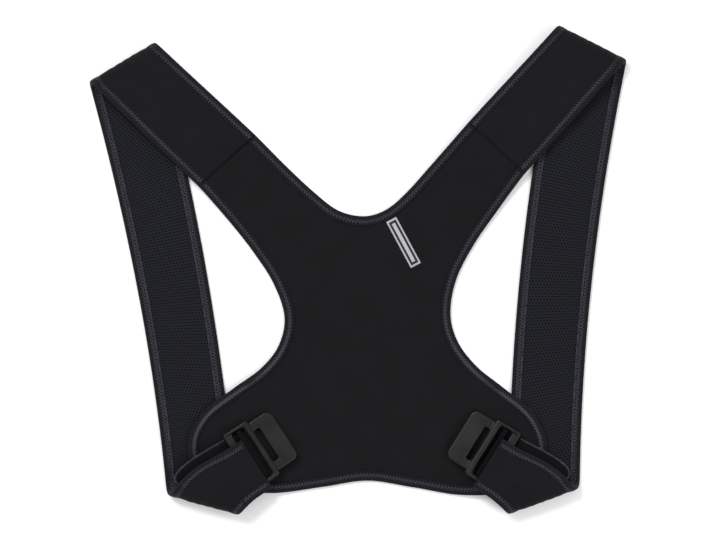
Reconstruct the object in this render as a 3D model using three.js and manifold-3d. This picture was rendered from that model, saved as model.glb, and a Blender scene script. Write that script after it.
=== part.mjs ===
// A posture corrector lying flat, with the outside of its back panel up.
// Two padded straps fold over at the shoulders, run down beneath the panel and fold forward again
// at the bottom, where each one loops round the far bar of a moulded buckle.
// Millimetres. +X is right, +Y is towards the shoulders, +Z is up and the floor is at Z = 0.

import * as THREE from 'three';
import * as BufferGeometryUtils from 'three/addons/utils/BufferGeometryUtils.js';
import Module from 'manifold-3d';

const wasm = await Module();
wasm.setup();

// Clearance between two pieces that touch
const GAP = 0.3;

// Edge tape, folded round every edge
const TAPE_WIDTH = 8;
const TAPE_WALL = 0.8;
const TAPE_BEND = 0.9;

// Back panel
const PANEL_HALF_WIDTH = 150;
const PANEL_HEIGHT = 224;
const PANEL_THICKNESS = 2;
const ARM_RISE_LENGTH = 95;
const CORNER_SLOPE_LENGTH = 52;
const CORNER_HEAD = 75;
const WAIST_FOOT = 120;
const ARM_SPLIT = 20;
const STRAP_LEAD = 20;

// Padded straps
const STRAP_WIDTH = 62;
const STRAP_THICKNESS = 4.2;
const LINING_THICKNESS = 1.4;
const SEAM_LIFT = 4.6;
const TOP_RUN_LENGTH = 112;
const FOLD_DROP = 8;
const FRONT_RUN_LENGTH = 34;
const SHOULDER_ROLL = 6.5;
const BOTTOM_ROLL = 9;

// Thin end of the straps
const TAIL_THICKNESS = 2;
const TAIL_LENGTH = 40;
const TAIL_SLACK = 0.4;
const TAIL_RISE = 14;

// Buckles
const BUCKLE_WIDTH = 54;
const BUCKLE_THICKNESS = 3;
const BUCKLE_TILT = 7;
const FAR_BAR = 7;
const THIN_BAR = 6.5;
const SIDE_ARM = 3.8;
const STRAP_SLOT = 11;
const PLATE_SLOT = 5;
const PLATE_SLOT_END = 8;
const PLATE_LENGTH = 15.5;
const PLATE_WIDTH = 47;
const PLATE_CORNER = 6;
const FRAME_CORNER = 3;
const SLOT_CORNER = 1.5;
const RIB_HEIGHT = 1.2;
const RIB_TOP = 0.5;
const BUCKLE_EDGE = 0.4;
const SLOT_CLEARANCE = 0.7;
const BUCKLE_SHIFT = 4.3;
const STRAP_OVERHANG = 4;

// Woven label
const LABEL_LENGTH = 44;
const LABEL_WIDTH = 9.5;
const LABEL_THICKNESS = 1;
const LABEL_ANGLE = -61.7;
const LABEL_PLACE = { across: 0.201, up: 0.896 };

const EDGE_HALF = STRAP_THICKNESS / 2 - TAPE_WALL - GAP;
const STRAP_HALF = STRAP_THICKNESS / 2;
const PANEL_TAPE_HALF = PANEL_THICKNESS / 2 + GAP + TAPE_WALL;
const SLOT_LENGTH = BUCKLE_WIDTH - 2 * SIDE_ARM;
const TAIL_WIDTH = SLOT_LENGTH - 2 * SLOT_CLEARANCE;

// How each strap is laid. The photo's two sides differ a little, so each has its own row. Places
// and angles are seen from above, measured outward from the panel's axis. seam is the middle of the
// butt seam, across as a share of the panel's half width and up as a share of its height. top and
// drop are shares of the top run's length and of the fold's drop, and turns are the bends in the
// plane of the cloth.
const SIDES = [
  {
    name: 'left', mirror: -1, seam: { across: 0.7907, up: 1.2036 }, heading: 43.5, seamAngle: -42,
    top: 1, shoulderCrease: -30.9, drop: 1.41, backTurn: 9.9, backWidth: 0.935,
    bottomCrease: 15.5, frontTurn: 20.5,
  },
  {
    name: 'right', mirror: 1, seam: { across: 0.7247, up: 1.2522 }, heading: 47.9, seamAngle: -42,
    top: 0.987, shoulderCrease: -26.9, drop: 0.63, backTurn: 11.2, backWidth: 0.965,
    bottomCrease: 20, frontTurn: 17.5,
  },
];

// A strap's stretches from the seam to the buckle: the reach of its inner and outer edges at the
// end of each as shares of half the strap's width, and the rows of facets along it. The side's
// backWidth is the share at the end of the back run.
const STRETCHES = {
  top: { inner: 1, outer: 1, rows: 5 },
  shoulder: { inner: 1, outer: 1, rows: 6 },
  back: { rows: 12 },
  bottom: { inner: 0.92, outer: 0.92, rows: 7 },
  front: { inner: 0.92, outer: 0.61, rows: 7 },
  bar: { inner: 0.92, outer: 0.61, rows: 1 },
};
const SEAM_WIDTH_SHARE = 1.035;

// The panel's outline below the seams, from the arm down round the armhole and the corner to the
// hem: across as a share of the half width, up as a share of the height.
const LOWER_OUTLINE = [
  { at: 'arm', left: { across: 0.767, up: 0.967 }, right: { across: 0.717, up: 1.005 } },
  { at: 'low arm', left: { across: 0.636, up: 0.854 }, right: { across: 0.593, up: 0.884 } },
  { at: 'above waist', left: { across: 0.529, up: 0.741 }, right: { across: 0.497, up: 0.756 } },
  { at: 'waist', left: { across: 0.468, up: 0.617 }, right: { across: 0.465, up: 0.628 } },
  { at: 'below waist', left: { across: 0.501, up: 0.508 }, right: { across: 0.506, up: 0.523 } },
  { at: 'flare', left: { across: 0.6, up: 0.423 }, right: { across: 0.614, up: 0.429 } },
  { at: 'hip', left: { across: 0.75, up: 0.35 }, right: { across: 0.762, up: 0.35 } },
  { at: 'corner top', left: { across: 0.919, up: 0.263 }, right: { across: 0.924, up: 0.26 } },
  { at: 'corner', left: { across: 1.003, up: 0.158 }, right: { across: 1.003, up: 0.151 } },
  { at: 'corner foot', left: { across: 0.975, up: 0.053 }, right: { across: 0.975, up: 0.053 } },
  { at: 'outer hem', left: { across: 0.806, up: -0.026 }, right: { across: 0.806, up: -0.036 } },
  { at: 'middle hem', left: { across: 0.531, up: -0.046 }, right: { across: 0.537, up: -0.054 } },
  { at: 'inner hem', left: { across: 0.25, up: -0.023 }, right: { across: 0.256, up: -0.025 } },
];
const WAIST_ROW = 3;
const CORNER_FOOT_ROW = 9;
const FACETS_PER_SPAN = 2;
const LABEL_FACETS = 6;
const BUCKLE_FACETS = 3;
const TAIL_BEND_FACETS = 6;
const TAIL_FACETS = 7;

// A strap's two edges: the one at the neck, which is also its inner edge along the back run, and
// the other.
const INNER = 1;
const OUTER = -1;

// The neck edge from each seam down to the middle, in the same shares.
const NECK_OUTLINE = [
  { at: 'high neck', left: { across: 0.464, up: 1.187 }, right: { across: 0.34, up: 1.175 } },
  { at: 'middle neck', left: { across: 0.306, up: 1.088 }, right: { across: 0.216, up: 1.083 } },
  { at: 'low neck', left: { across: 0.166, up: 1.017 }, right: { across: 0.104, up: 1.02 } },
];
const NECK_LOW = { across: 0.02, up: 0.995 };

const PANEL_CLOTH = new THREE.MeshStandardMaterial({ color: 0x1f1f21, roughness: 0.92, metalness: 0 });
const STRAP_CLOTH = new THREE.MeshStandardMaterial({ color: 0x202022, roughness: 0.9, metalness: 0 });
const MESH_CLOTH = new THREE.MeshStandardMaterial({ color: 0x1a1b22, roughness: 0.95, metalness: 0 });
const TAPE_CLOTH = new THREE.MeshStandardMaterial({ color: 0x303036, roughness: 0.85, metalness: 0 });
const PLASTIC = new THREE.MeshStandardMaterial({ color: 0x323230, roughness: 0.5, metalness: 0 });
const LABEL_CLOTH = new THREE.MeshStandardMaterial({ color: 0x8a8a8e, roughness: 0.8, metalness: 0 });

const radians = (degrees) => degrees * Math.PI / 180;
const towards = (angle) => new THREE.Vector2(Math.cos(angle), Math.sin(angle));
const mix = (a, b, share) => a + (b - a) * share;

function smooth(share) {
  const s = Math.min(1, Math.max(0, share));
  return s * s * (3 - 2 * s);
}

// A cubic from one height and slope to another over a length.
function easedHeight(share, length, from, fromSlope, to, toSlope) {
  const s = Math.min(1, Math.max(0, share));
  const a = 2 * s ** 3 - 3 * s ** 2 + 1;
  const b = s ** 3 - 2 * s ** 2 + s;
  const c = -2 * s ** 3 + 3 * s ** 2;
  const d = s ** 3 - s ** 2;
  return a * from + b * length * fromSlope + c * to + d * length * toSlope;
}

// Turns a run of closed rings of points into one closed mesh. ringFaces gives the triangles that
// close a ring, as places in it.
function loftRings(rings, ringFaces) {
  const count = rings[0].length;
  const positions = rings.flat().flatMap((p) => [p.x, p.y, p.z]);
  const index = [];
  for (let i = 0; i + 1 < rings.length; i += 1) {
    for (let k = 0; k < count; k += 1) {
      const next = (k + 1) % count;
      const a = i * count + k;
      const b = i * count + next;
      index.push(a, b, b + count, a, b + count, a + count);
    }
  }
  const last = (rings.length - 1) * count;
  for (const [a, b, c] of ringFaces) {
    index.push(a, c, b);
    index.push(last + a, last + b, last + c);
  }
  return closedGeometry(positions, index);
}

// A geometry with its triangles turned so that they face out.
function closedGeometry(positions, index) {
  let volume = 0;
  const at = (i) => new THREE.Vector3(positions[3 * i], positions[3 * i + 1], positions[3 * i + 2]);
  for (let i = 0; i < index.length; i += 3) {
    volume += at(index[i]).dot(at(index[i + 1]).cross(at(index[i + 2])));
  }
  const faces = volume > 0 ? index : [...index].reverse();
  const geometry = new THREE.BufferGeometry();
  geometry.setAttribute('position', new THREE.Float32BufferAttribute(positions, 3));
  geometry.setIndex(faces);
  geometry.computeVertexNormals();
  return geometry;
}

// The triangles that fill a section, wound as its points are.
function sectionFaces(section) {
  const points = section.map(([x, y]) => new THREE.Vector2(x, y));
  const faces = THREE.ShapeUtils.triangulateShape(points, []);
  return THREE.ShapeUtils.isClockWise(points) ? faces.map(([a, b, c]) => [a, c, b]) : faces;
}

// Points on a smooth curve through the given ones, from the second to the last but one. The outer
// two only give the curve its direction at its ends.
function smoothCurve(points, perSpan) {
  const curve = [];
  for (let i = 1; i + 2 < points.length; i += 1) {
    const [before, from, to, after] = points.slice(i - 1, i + 3);
    for (let k = 0; k < perSpan; k += 1) {
      const s = k / perSpan;
      const along = (axis) => 0.5 * (
        2 * from[axis] + (to[axis] - before[axis]) * s
        + (2 * before[axis] - 5 * from[axis] + 4 * to[axis] - after[axis]) * s ** 2
        + (3 * from[axis] - before[axis] - 3 * to[axis] + after[axis]) * s ** 3);
      curve.push(new THREE.Vector2(along('x'), along('y')));
    }
  }
  curve.push(points[points.length - 2].clone());
  return curve;
}

// The middle of a side's butt seam, seen from above with outward as X.
function seamMiddle({ seam }) {
  return new THREE.Vector2(seam.across * PANEL_HALF_WIDTH, seam.up * PANEL_HEIGHT);
}

// The strap's middle surface: a flat pattern that is wrapped round two rolls without stretching.
// The back run is as long as the shoulder is high, and the drop takes its fold past the hem.
function layStrap(side) {
  const first = radians(side.heading);
  const crease = radians(side.shoulderCrease);
  const foot = radians(side.bottomCrease);
  const footFlat = 2 * crease - foot;
  const seamRow = radians(side.seamAngle);
  const stretches = [];
  const topLength = side.top * TOP_RUN_LENGTH;
  let place = seamMiddle(side);
  const backLength = place.y + topLength * Math.sin(first) + side.drop * FOLD_DROP;
  let heading = first;
  let start = 0;
  let reach = { inner: SEAM_WIDTH_SHARE, outer: SEAM_WIDTH_SHARE };

  function addStretch(name, length, turn, rowFrom, rowTo) {
    const { inner = side.backWidth, outer = side.backWidth, rows } = STRETCHES[name];
    const endReach = { inner, outer };
    stretches.push({ name, start, length, turn, heading, place, reach, endReach, rows, rowFrom, rowTo });
    place = along(stretches[stretches.length - 1], length).place;
    heading += turn;
    start += length;
    reach = endReach;
  }

  function along(stretch, distance) {
    const bend = stretch.turn / stretch.length;
    const angle = stretch.heading + bend * distance;
    const chord = Math.abs(bend) < 1e-9 ? distance : Math.sin(bend * distance / 2) * 2 / bend;
    const step = towards(stretch.heading + bend * distance / 2).multiplyScalar(chord);
    return { place: stretch.place.clone().add(step), heading: angle };
  }

  const forward = (line, way) => {
    const normal = towards(line + Math.PI / 2);
    return normal.dot(towards(way)) < 0 ? normal.negate() : normal;
  };
  const shoulderNormal = forward(crease, first);
  const shoulderWrap = Math.PI * SHOULDER_ROLL;
  addStretch('top', topLength, 0, seamRow, crease);
  const shoulderPlace = place.clone();
  addStretch('shoulder', shoulderWrap / shoulderNormal.dot(towards(heading)), 0, crease, crease);
  addStretch('back', backLength, -radians(side.backTurn), crease, footFlat);
  const mirrored = (p) => {
    const beyond = p.clone().sub(shoulderPlace).dot(shoulderNormal);
    return p.clone().addScaledVector(shoulderNormal, shoulderWrap - 2 * beyond);
  };
  const footPlace = mirrored(place);
  const footHeading = 2 * crease - heading;
  const footNormal = forward(foot, footHeading);
  const footWrap = Math.PI * BOTTOM_ROLL;
  addStretch('bottom', footWrap / footNormal.dot(towards(footHeading)), 0, footFlat, footFlat);
  const lastTurn = radians(side.frontTurn);
  addStretch('front', FRONT_RUN_LENGTH, lastTurn, footFlat, heading + lastTurn + Math.PI / 2);
  const overBar = FAR_BAR + 2 * GAP + STRAP_OVERHANG;
  addStretch('bar', overBar, 0, heading + Math.PI / 2, heading + Math.PI / 2);
  const end = start;

  const stretchAt = (u) => stretches.find((s) => u < s.start + s.length) ?? stretches[stretches.length - 1];

  // How far the inner (1) or outer (-1) edge is from the strap's line there.
  function reachAt(u, edge) {
    const s = stretchAt(u);
    const name = edge > 0 ? 'inner' : 'outer';
    return STRAP_WIDTH / 2 * mix(s.reach[name], s.endReach[name], smooth((u - s.start) / s.length));
  }

  function slant(u) {
    const s = stretchAt(u);
    const ratio = (row, way) => {
      const line = towards(row);
      return line.dot(towards(way)) / line.dot(towards(way + Math.PI / 2));
    };
    const share = (u - s.start) / s.length;
    return mix(ratio(s.rowFrom, s.heading), ratio(s.rowTo, s.heading + s.turn), share);
  }

  const footStart = stretches.find((s) => s.name === 'bottom').start;
  const laid = { end, endHeight: 0, footStart, reachAt };

  function heightChange(u) {
    const s = stretchAt(u);
    const share = (u - s.start) / s.length;
    const overRun = STRAP_HALF + 2 * SHOULDER_ROLL;
    const overFoot = STRAP_HALF + 2 * BOTTOM_ROLL;
    const fall = Math.tan(radians(BUCKLE_TILT));
    if (s.name === 'top') {
      const seamHeight = PANEL_TAPE_HALF + SEAM_LIFT;
      const slope = 2 * SEAM_LIFT / ARM_RISE_LENGTH;
      return easedHeight(share, s.length, seamHeight, slope, overRun, 0) - overRun;
    }
    if (s.name === 'front') {
      return easedHeight(share, s.length, overFoot, 0, laid.endHeight + overBar * fall, -fall) - overFoot;
    }
    if (s.name === 'bar') {
      return laid.endHeight + (end - u) * fall - overFoot;
    }
    return 0;
  }

  // The place of a point of the strap: u along it from the seam, v across it to the left.
  laid.point = (u, v) => {
    const from = u + v * slant(u);
    const middle = along(stretchAt(from), from - stretchAt(from).start);
    const flat = middle.place.clone().addScaledVector(towards(middle.heading + Math.PI / 2), v);
    const lift = heightChange(u);
    const beyond = flat.clone().sub(shoulderPlace).dot(shoulderNormal);
    if (beyond <= 0) {
      return new THREE.Vector3(flat.x, flat.y, STRAP_HALF + 2 * SHOULDER_ROLL + lift);
    }
    if (beyond < shoulderWrap) {
      const angle = beyond / SHOULDER_ROLL;
      flat.addScaledVector(shoulderNormal, SHOULDER_ROLL * Math.sin(angle) - beyond);
      return new THREE.Vector3(flat.x, flat.y, STRAP_HALF + SHOULDER_ROLL * (1 + Math.cos(angle)));
    }
    const under = mirrored(flat);
    const past = under.clone().sub(footPlace).dot(footNormal);
    if (past <= 0) {
      return new THREE.Vector3(under.x, under.y, STRAP_HALF);
    }
    if (past < footWrap) {
      const angle = past / BOTTOM_ROLL;
      under.addScaledVector(footNormal, BOTTOM_ROLL * Math.sin(angle) - past);
      return new THREE.Vector3(under.x, under.y, STRAP_HALF + BOTTOM_ROLL * (1 - Math.cos(angle)));
    }
    under.addScaledVector(footNormal, footWrap - 2 * past);
    return new THREE.Vector3(under.x, under.y, STRAP_HALF + 2 * BOTTOM_ROLL + lift);
  };

  // The strap's outward direction there, away from its lining.
  laid.normal = (u, v) => {
    const step = 0.05;
    const ahead = laid.point(Math.min(end, u + step), v).sub(laid.point(Math.max(0, u - step), v));
    const across = laid.point(u, v + step).sub(laid.point(u, v - step));
    return ahead.cross(across).normalize();
  };

  laid.rows = [0];
  for (const s of stretches) {
    for (let i = 1; i <= s.rows; i += 1) {
      laid.rows.push(s.start + s.length * i / s.rows);
    }
  }
  laid.rows[laid.rows.length - 1] = end;

  // A point at an inset from an edge and an offset along the outward direction.
  laid.inset = (u, edge, inset, out) => {
    const v = edge * (reachAt(u, edge) - inset);
    return laid.point(u, v).addScaledVector(laid.normal(u, v), out);
  };
  return laid;
}

// A strap piece whose section is given as points [edge, inset, out], swept along the strap.
function sweepAlongStrap(strap, side, section) {
  const rings = strap.rows.map((u) => section.map(([edge, inset, out]) => {
    const p = strap.inset(u, edge, inset, out);
    return new THREE.Vector3(side.mirror * p.x, p.y, p.z);
  }));
  const half = STRAP_WIDTH / 2;
  return loftRings(rings, sectionFaces(section.map(([edge, inset, out]) => [edge * (half - inset), out])));
}

// The tape's section at one edge: a rounded back and two legs.
function tapeSection(outerHalf) {
  const inner = outerHalf - TAPE_WALL;
  return [
    [TAPE_WIDTH, outerHalf], [TAPE_BEND, outerHalf], [0, outerHalf - TAPE_BEND],
    [0, TAPE_BEND - outerHalf], [TAPE_BEND, -outerHalf], [TAPE_WIDTH, -outerHalf],
    [TAPE_WIDTH, -inner], [TAPE_WALL, -inner], [TAPE_WALL, inner], [TAPE_WIDTH, inner],
  ];
}

function strapSection() {
  const grip = TAPE_WALL + GAP;
  const inlay = TAPE_WIDTH + GAP;
  const inner = -STRAP_HALF + LINING_THICKNESS + GAP;
  return [
    [-1, grip, EDGE_HALF], [-1, inlay, EDGE_HALF], [-1, inlay, STRAP_HALF],
    [1, inlay, STRAP_HALF], [1, inlay, EDGE_HALF], [1, grip, EDGE_HALF],
    [1, grip, -EDGE_HALF], [1, inlay, -EDGE_HALF], [1, inlay, inner],
    [-1, inlay, inner], [-1, inlay, -EDGE_HALF], [-1, grip, -EDGE_HALF],
  ];
}

function liningSection() {
  const inlay = TAPE_WIDTH + 2 * GAP;
  const top = -STRAP_HALF + LINING_THICKNESS;
  return [[-1, inlay, top], [1, inlay, top], [1, inlay, -STRAP_HALF], [-1, inlay, -STRAP_HALF]];
}

const straps = SIDES.map(layStrap);

// The panel's height at a place: on the floor, up to the seams along its arms, and up over the
// straps' back runs at its lower corners.
function panelHeight(x, y) {
  let height = PANEL_TAPE_HALF;
  SIDES.forEach((side, i) => {
    const outward = side.mirror * x;
    const seamNormal = towards(radians(side.seamAngle) + Math.PI / 2);
    const fromSeam = seamMiddle(side).sub(new THREE.Vector2(outward, y)).dot(seamNormal);
    const arm = smooth((outward + ARM_SPLIT) / (2 * ARM_SPLIT));
    height += SEAM_LIFT * Math.max(0, 1 - fromSeam / ARM_RISE_LENGTH) ** 2 * arm;
    const innerEdge = straps[i].inset(straps[i].footStart, INNER, 0, 0).x;
    const onRun = (outward - innerEdge + CORNER_SLOPE_LENGTH) / (CORNER_SLOPE_LENGTH - TAPE_WIDTH);
    const below = smooth((WAIST_FOOT - y) / (WAIST_FOOT - CORNER_HEAD));
    height += (STRAP_THICKNESS + GAP) * smooth(onRun) * below;
  });
  return height;
}

// A point of the panel: a place in the plane and an offset outward from the panel's middle.
function panelPoint(spot, out) {
  const step = 0.5;
  const rise = (dx, dy) => panelHeight(spot.x + dx, spot.y + dy) - panelHeight(spot.x - dx, spot.y - dy);
  const normal = new THREE.Vector3(-rise(step, 0), -rise(0, step), 2 * step).normalize();
  return new THREE.Vector3(spot.x, spot.y, panelHeight(spot.x, spot.y)).addScaledVector(normal, out);
}

// An outline with its inward direction at each point, to the left of its way or to the right.
function outline(points, inwardTurn, perSpan) {
  const curve = smoothCurve(points, perSpan);
  return curve.map((p, i) => {
    const before = curve[Math.max(0, i - 1)];
    const after = curve[Math.min(curve.length - 1, i + 1)];
    const way = after.clone().sub(before).normalize();
    return { place: p, inward: new THREE.Vector2(-way.y, way.x).multiplyScalar(inwardTurn) };
  });
}

// The panel's lower outline, from the left seam to the right one, and its neck edge likewise. At
// the seams both run on in line with the straps' edges, and their inward direction is the seam's.
function panelOutlines() {
  const seamCorner = (i, edge, u) => {
    const p = straps[i].point(u, edge * straps[i].reachAt(0, edge));
    return new THREE.Vector2(SIDES[i].mirror * p.x, p.y);
  };
  const spots = (i, edge, rows) => {
    const side = SIDES[i];
    const places = rows.map((row) => new THREE.Vector2(
      side.mirror * row[side.name].across * PANEL_HALF_WIDTH, row[side.name].up * PANEL_HEIGHT));
    return [seamCorner(i, edge, STRAP_LEAD), seamCorner(i, edge, -GAP), ...places];
  };
  const hemMiddle = new THREE.Vector2(0, 0);
  const neckMiddle = new THREE.Vector2(-NECK_LOW.across * PANEL_HALF_WIDTH, NECK_LOW.up * PANEL_HEIGHT);
  const lower = [...spots(0, OUTER, LOWER_OUTLINE), hemMiddle, ...spots(1, OUTER, LOWER_OUTLINE).reverse()];
  const neck = [...spots(0, INNER, NECK_OUTLINE), neckMiddle, ...spots(1, INNER, NECK_OUTLINE).reverse()];
  const outlines = { lower: outline(lower, 1, FACETS_PER_SPAN), neck: outline(neck, -1, FACETS_PER_SPAN) };
  for (const [i, end] of [[0, 0], [1, -1]]) {
    const across = seamCorner(i, INNER, 0).sub(seamCorner(i, OUTER, 0)).normalize();
    outlines.lower.at(end).inward = across;
    outlines.neck.at(end).inward = across.clone().negate();
  }
  return outlines;
}

const outlines = panelOutlines();
const insetPlace = (edge, inset) => edge.place.clone().addScaledVector(edge.inward, inset);

// One half of the panel: a field of rows of places inside the tape, from the hem up to the seam and
// from the middle out, and rims that run on from the field's edge into the tape.
function panelHalf(i) {
  const ordered = (line, inset) => {
    return (i === 0 ? line : [...line].reverse()).map((edge) => insetPlace(edge, inset));
  };
  const grip = TAPE_WALL + GAP;
  const lower = ordered(outlines.lower, TAPE_WIDTH);
  const neck = ordered(outlines.neck, TAPE_WIDTH);
  const cornerFoot = (CORNER_FOOT_ROW + 1) * FACETS_PER_SPAN;
  const waist = (WAIST_ROW + 1) * FACETS_PER_SPAN;
  const hemMiddle = (LOWER_OUTLINE.length + 1) * FACETS_PER_SPAN;
  const neckMiddle = (NECK_OUTLINE.length + 1) * FACETS_PER_SPAN;
  const columns = hemMiddle - cornerFoot;
  const neckFrom = cornerFoot - waist;
  const neckAt = (r) => Math.floor(neckMiddle - (r - neckFrom) * neckMiddle / waist);
  const rows = [];
  for (let r = 0; r <= cornerFoot; r += 1) {
    const upCentre = Math.min(1, r / neckFrom);
    const inner = r > neckFrom ? neck[neckAt(r)] : lower[hemMiddle].clone().lerp(neck[neckMiddle], upCentre);
    const outer = lower[cornerFoot - r];
    const row = [];
    for (let c = 0; c <= columns; c += 1) {
      const place = inner.clone().lerp(outer, c / columns);
      const onLine = lower[hemMiddle].clone().lerp(lower[cornerFoot], c / columns);
      const bow = lower[hemMiddle - c].clone().sub(onLine);
      row.push(place.addScaledVector(bow, (1 - upCentre) ** 2));
    }
    rows.push(row);
  }
  const lowerEdge = ordered(outlines.lower, grip);
  const neckEdge = ordered(outlines.neck, grip);
  const hemRim = rows[0].map((_, c) => ({ r: 0, c, place: lowerEdge[hemMiddle - c] }));
  const sideRim = rows.map((_, r) => ({ r, c: columns, place: lowerEdge[cornerFoot - r] }));
  const neckRows = rows.map((_, r) => r).slice(neckFrom).reverse();
  const neckRim = neckRows.map((r) => ({ r, c: 0, place: neckEdge[neckAt(r)] }));
  return { rows, rims: [[...hemRim, ...sideRim.slice(1)], neckRim] };
}

function panelGeometry() {
  const positions = [];
  const index = [];
  const half = PANEL_THICKNESS / 2;
  // Adds a place on both faces and gives its number.
  const addPlace = (spot) => {
    const top = panelPoint(spot, half);
    const foot = panelPoint(spot, -half);
    positions.push(top.x, top.y, top.z, foot.x, foot.y, foot.z);
    return positions.length / 3 - 2;
  };
  for (const i of [0, 1]) {
    const { rows, rims } = panelHalf(i);
    const at = rows.map((row) => row.map(addPlace));
    const quad = (a, b, c, d) => {
      const corners = SIDES[i].mirror > 0 ? [a, b, c, a, c, d] : [a, c, b, a, d, c];
      index.push(...corners);
    };
    const bothFaces = (a, b, c, d) => {
      quad(a, b, c, d);
      quad(a + 1, d + 1, c + 1, b + 1);
    };
    const wall = (a, b) => quad(a, a + 1, b + 1, b);
    for (let r = 0; r + 1 < rows.length; r += 1) {
      for (let c = 0; c + 1 < rows[r].length; c += 1) {
        bothFaces(at[r][c], at[r][c + 1], at[r + 1][c + 1], at[r + 1][c]);
      }
    }
    const edges = rims.map((rim) => rim.map(({ place }) => addPlace(place)));
    rims.forEach((rim, k) => {
      const inside = rim.map(({ r, c }) => at[r][c]);
      for (let n = 0; n + 1 < rim.length; n += 1) {
        bothFaces(edges[k][n], edges[k][n + 1], inside[n + 1], inside[n]);
        wall(edges[k][n], edges[k][n + 1]);
      }
    });
    const seam = [edges[0].at(-1), ...at.at(-1).reverse(), edges[1][0]];
    for (let n = 0; n + 1 < seam.length; n += 1) {
      wall(seam[n], seam[n + 1]);
    }
  }
  const geometry = closedGeometry(positions, index);
  geometry.deleteAttribute('normal');
  const welded = BufferGeometryUtils.mergeVertices(geometry, 1e-4);
  welded.computeVertexNormals();
  return welded;
}

function panelTapeGeometry(line) {
  const section = tapeSection(PANEL_TAPE_HALF);
  const rings = line.map((edge) => section.map(([inset, out]) => panelPoint(insetPlace(edge, inset), out)));
  return loftRings(rings, sectionFaces(section));
}

function labelGeometry() {
  const middle = new THREE.Vector2(LABEL_PLACE.across * PANEL_HALF_WIDTH, LABEL_PLACE.up * PANEL_HEIGHT);
  const way = towards(radians(LABEL_ANGLE));
  const side = towards(radians(LABEL_ANGLE) + Math.PI / 2);
  const under = PANEL_THICKNESS / 2 + GAP;
  const section = [[-1, under], [1, under], [1, under + LABEL_THICKNESS], [-1, under + LABEL_THICKNESS]];
  const rings = [];
  for (let i = 0; i <= LABEL_FACETS; i += 1) {
    const along = LABEL_LENGTH * (i / LABEL_FACETS - 0.5);
    rings.push(section.map(([edge, out]) => {
      const spot = middle.clone().addScaledVector(way, along).addScaledVector(side, edge * LABEL_WIDTH / 2);
      return panelPoint(spot, out);
    }));
  }
  return loftRings(rings, sectionFaces(section));
}

// The buckle's sizes along the strap's way, from the far bar's middle to the plate's end.
const BUCKLE = {};
BUCKLE.outside = -FAR_BAR / 2;
BUCKLE.slotFrom = FAR_BAR / 2;
BUCKLE.slotTo = BUCKLE.slotFrom + STRAP_SLOT;
BUCKLE.barTo = BUCKLE.slotTo + THIN_BAR;
BUCKLE.plateFrom = BUCKLE.barTo + PLATE_SLOT;
BUCKLE.inside = BUCKLE.plateFrom + PLATE_LENGTH;

function roundedBox(path, fromX, toX, halfWidth, corner) {
  path.moveTo(fromX + corner, -halfWidth);
  path.lineTo(toX - corner, -halfWidth);
  path.absarc(toX - corner, corner - halfWidth, corner, -Math.PI / 2, 0, false);
  path.absarc(toX - corner, halfWidth - corner, corner, 0, Math.PI / 2, false);
  path.absarc(fromX + corner, halfWidth - corner, corner, Math.PI / 2, Math.PI, false);
  path.absarc(fromX + corner, corner - halfWidth, corner, Math.PI, 1.5 * Math.PI, false);
  path.closePath();
  return path;
}

function solidOf(geometry) {
  geometry.deleteAttribute('normal');
  geometry.deleteAttribute('uv');
  const welded = BufferGeometryUtils.mergeVertices(geometry, 1e-4);
  return new wasm.Manifold(new wasm.Mesh({
    numProp: 3,
    vertProperties: new Float32Array(welded.attributes.position.array),
    triVerts: new Uint32Array(welded.index.array),
  }));
}

function bevelledPlate(shape, bevel) {
  const plate = new THREE.ExtrudeGeometry(shape, {
    depth: BUCKLE_THICKNESS - 2 * bevel, bevelEnabled: true, bevelThickness: bevel, bevelSize: bevel,
    bevelOffset: -bevel, bevelSegments: 1, curveSegments: BUCKLE_FACETS,
  });
  return plate.translate(0, 0, bevel - BUCKLE_THICKNESS / 2);
}

// A raised rib with sloping sides, along X from the middle.
function rib(length, width) {
  const foot = BUCKLE_THICKNESS / 4;
  const top = BUCKLE_THICKNESS / 2 + RIB_HEIGHT;
  const profile = new THREE.Shape();
  profile.moveTo(-width / 2, foot);
  profile.lineTo(width / 2, foot);
  profile.lineTo(width / 2, BUCKLE_THICKNESS / 2);
  profile.lineTo(width * RIB_TOP / 2, top);
  profile.lineTo(-width * RIB_TOP / 2, top);
  profile.lineTo(-width / 2, BUCKLE_THICKNESS / 2);
  const bar = new THREE.ExtrudeGeometry(profile, { depth: length, bevelEnabled: false });
  return bar.translate(0, 0, -length / 2).rotateX(Math.PI / 2).rotateZ(Math.PI / 2);
}

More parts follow.
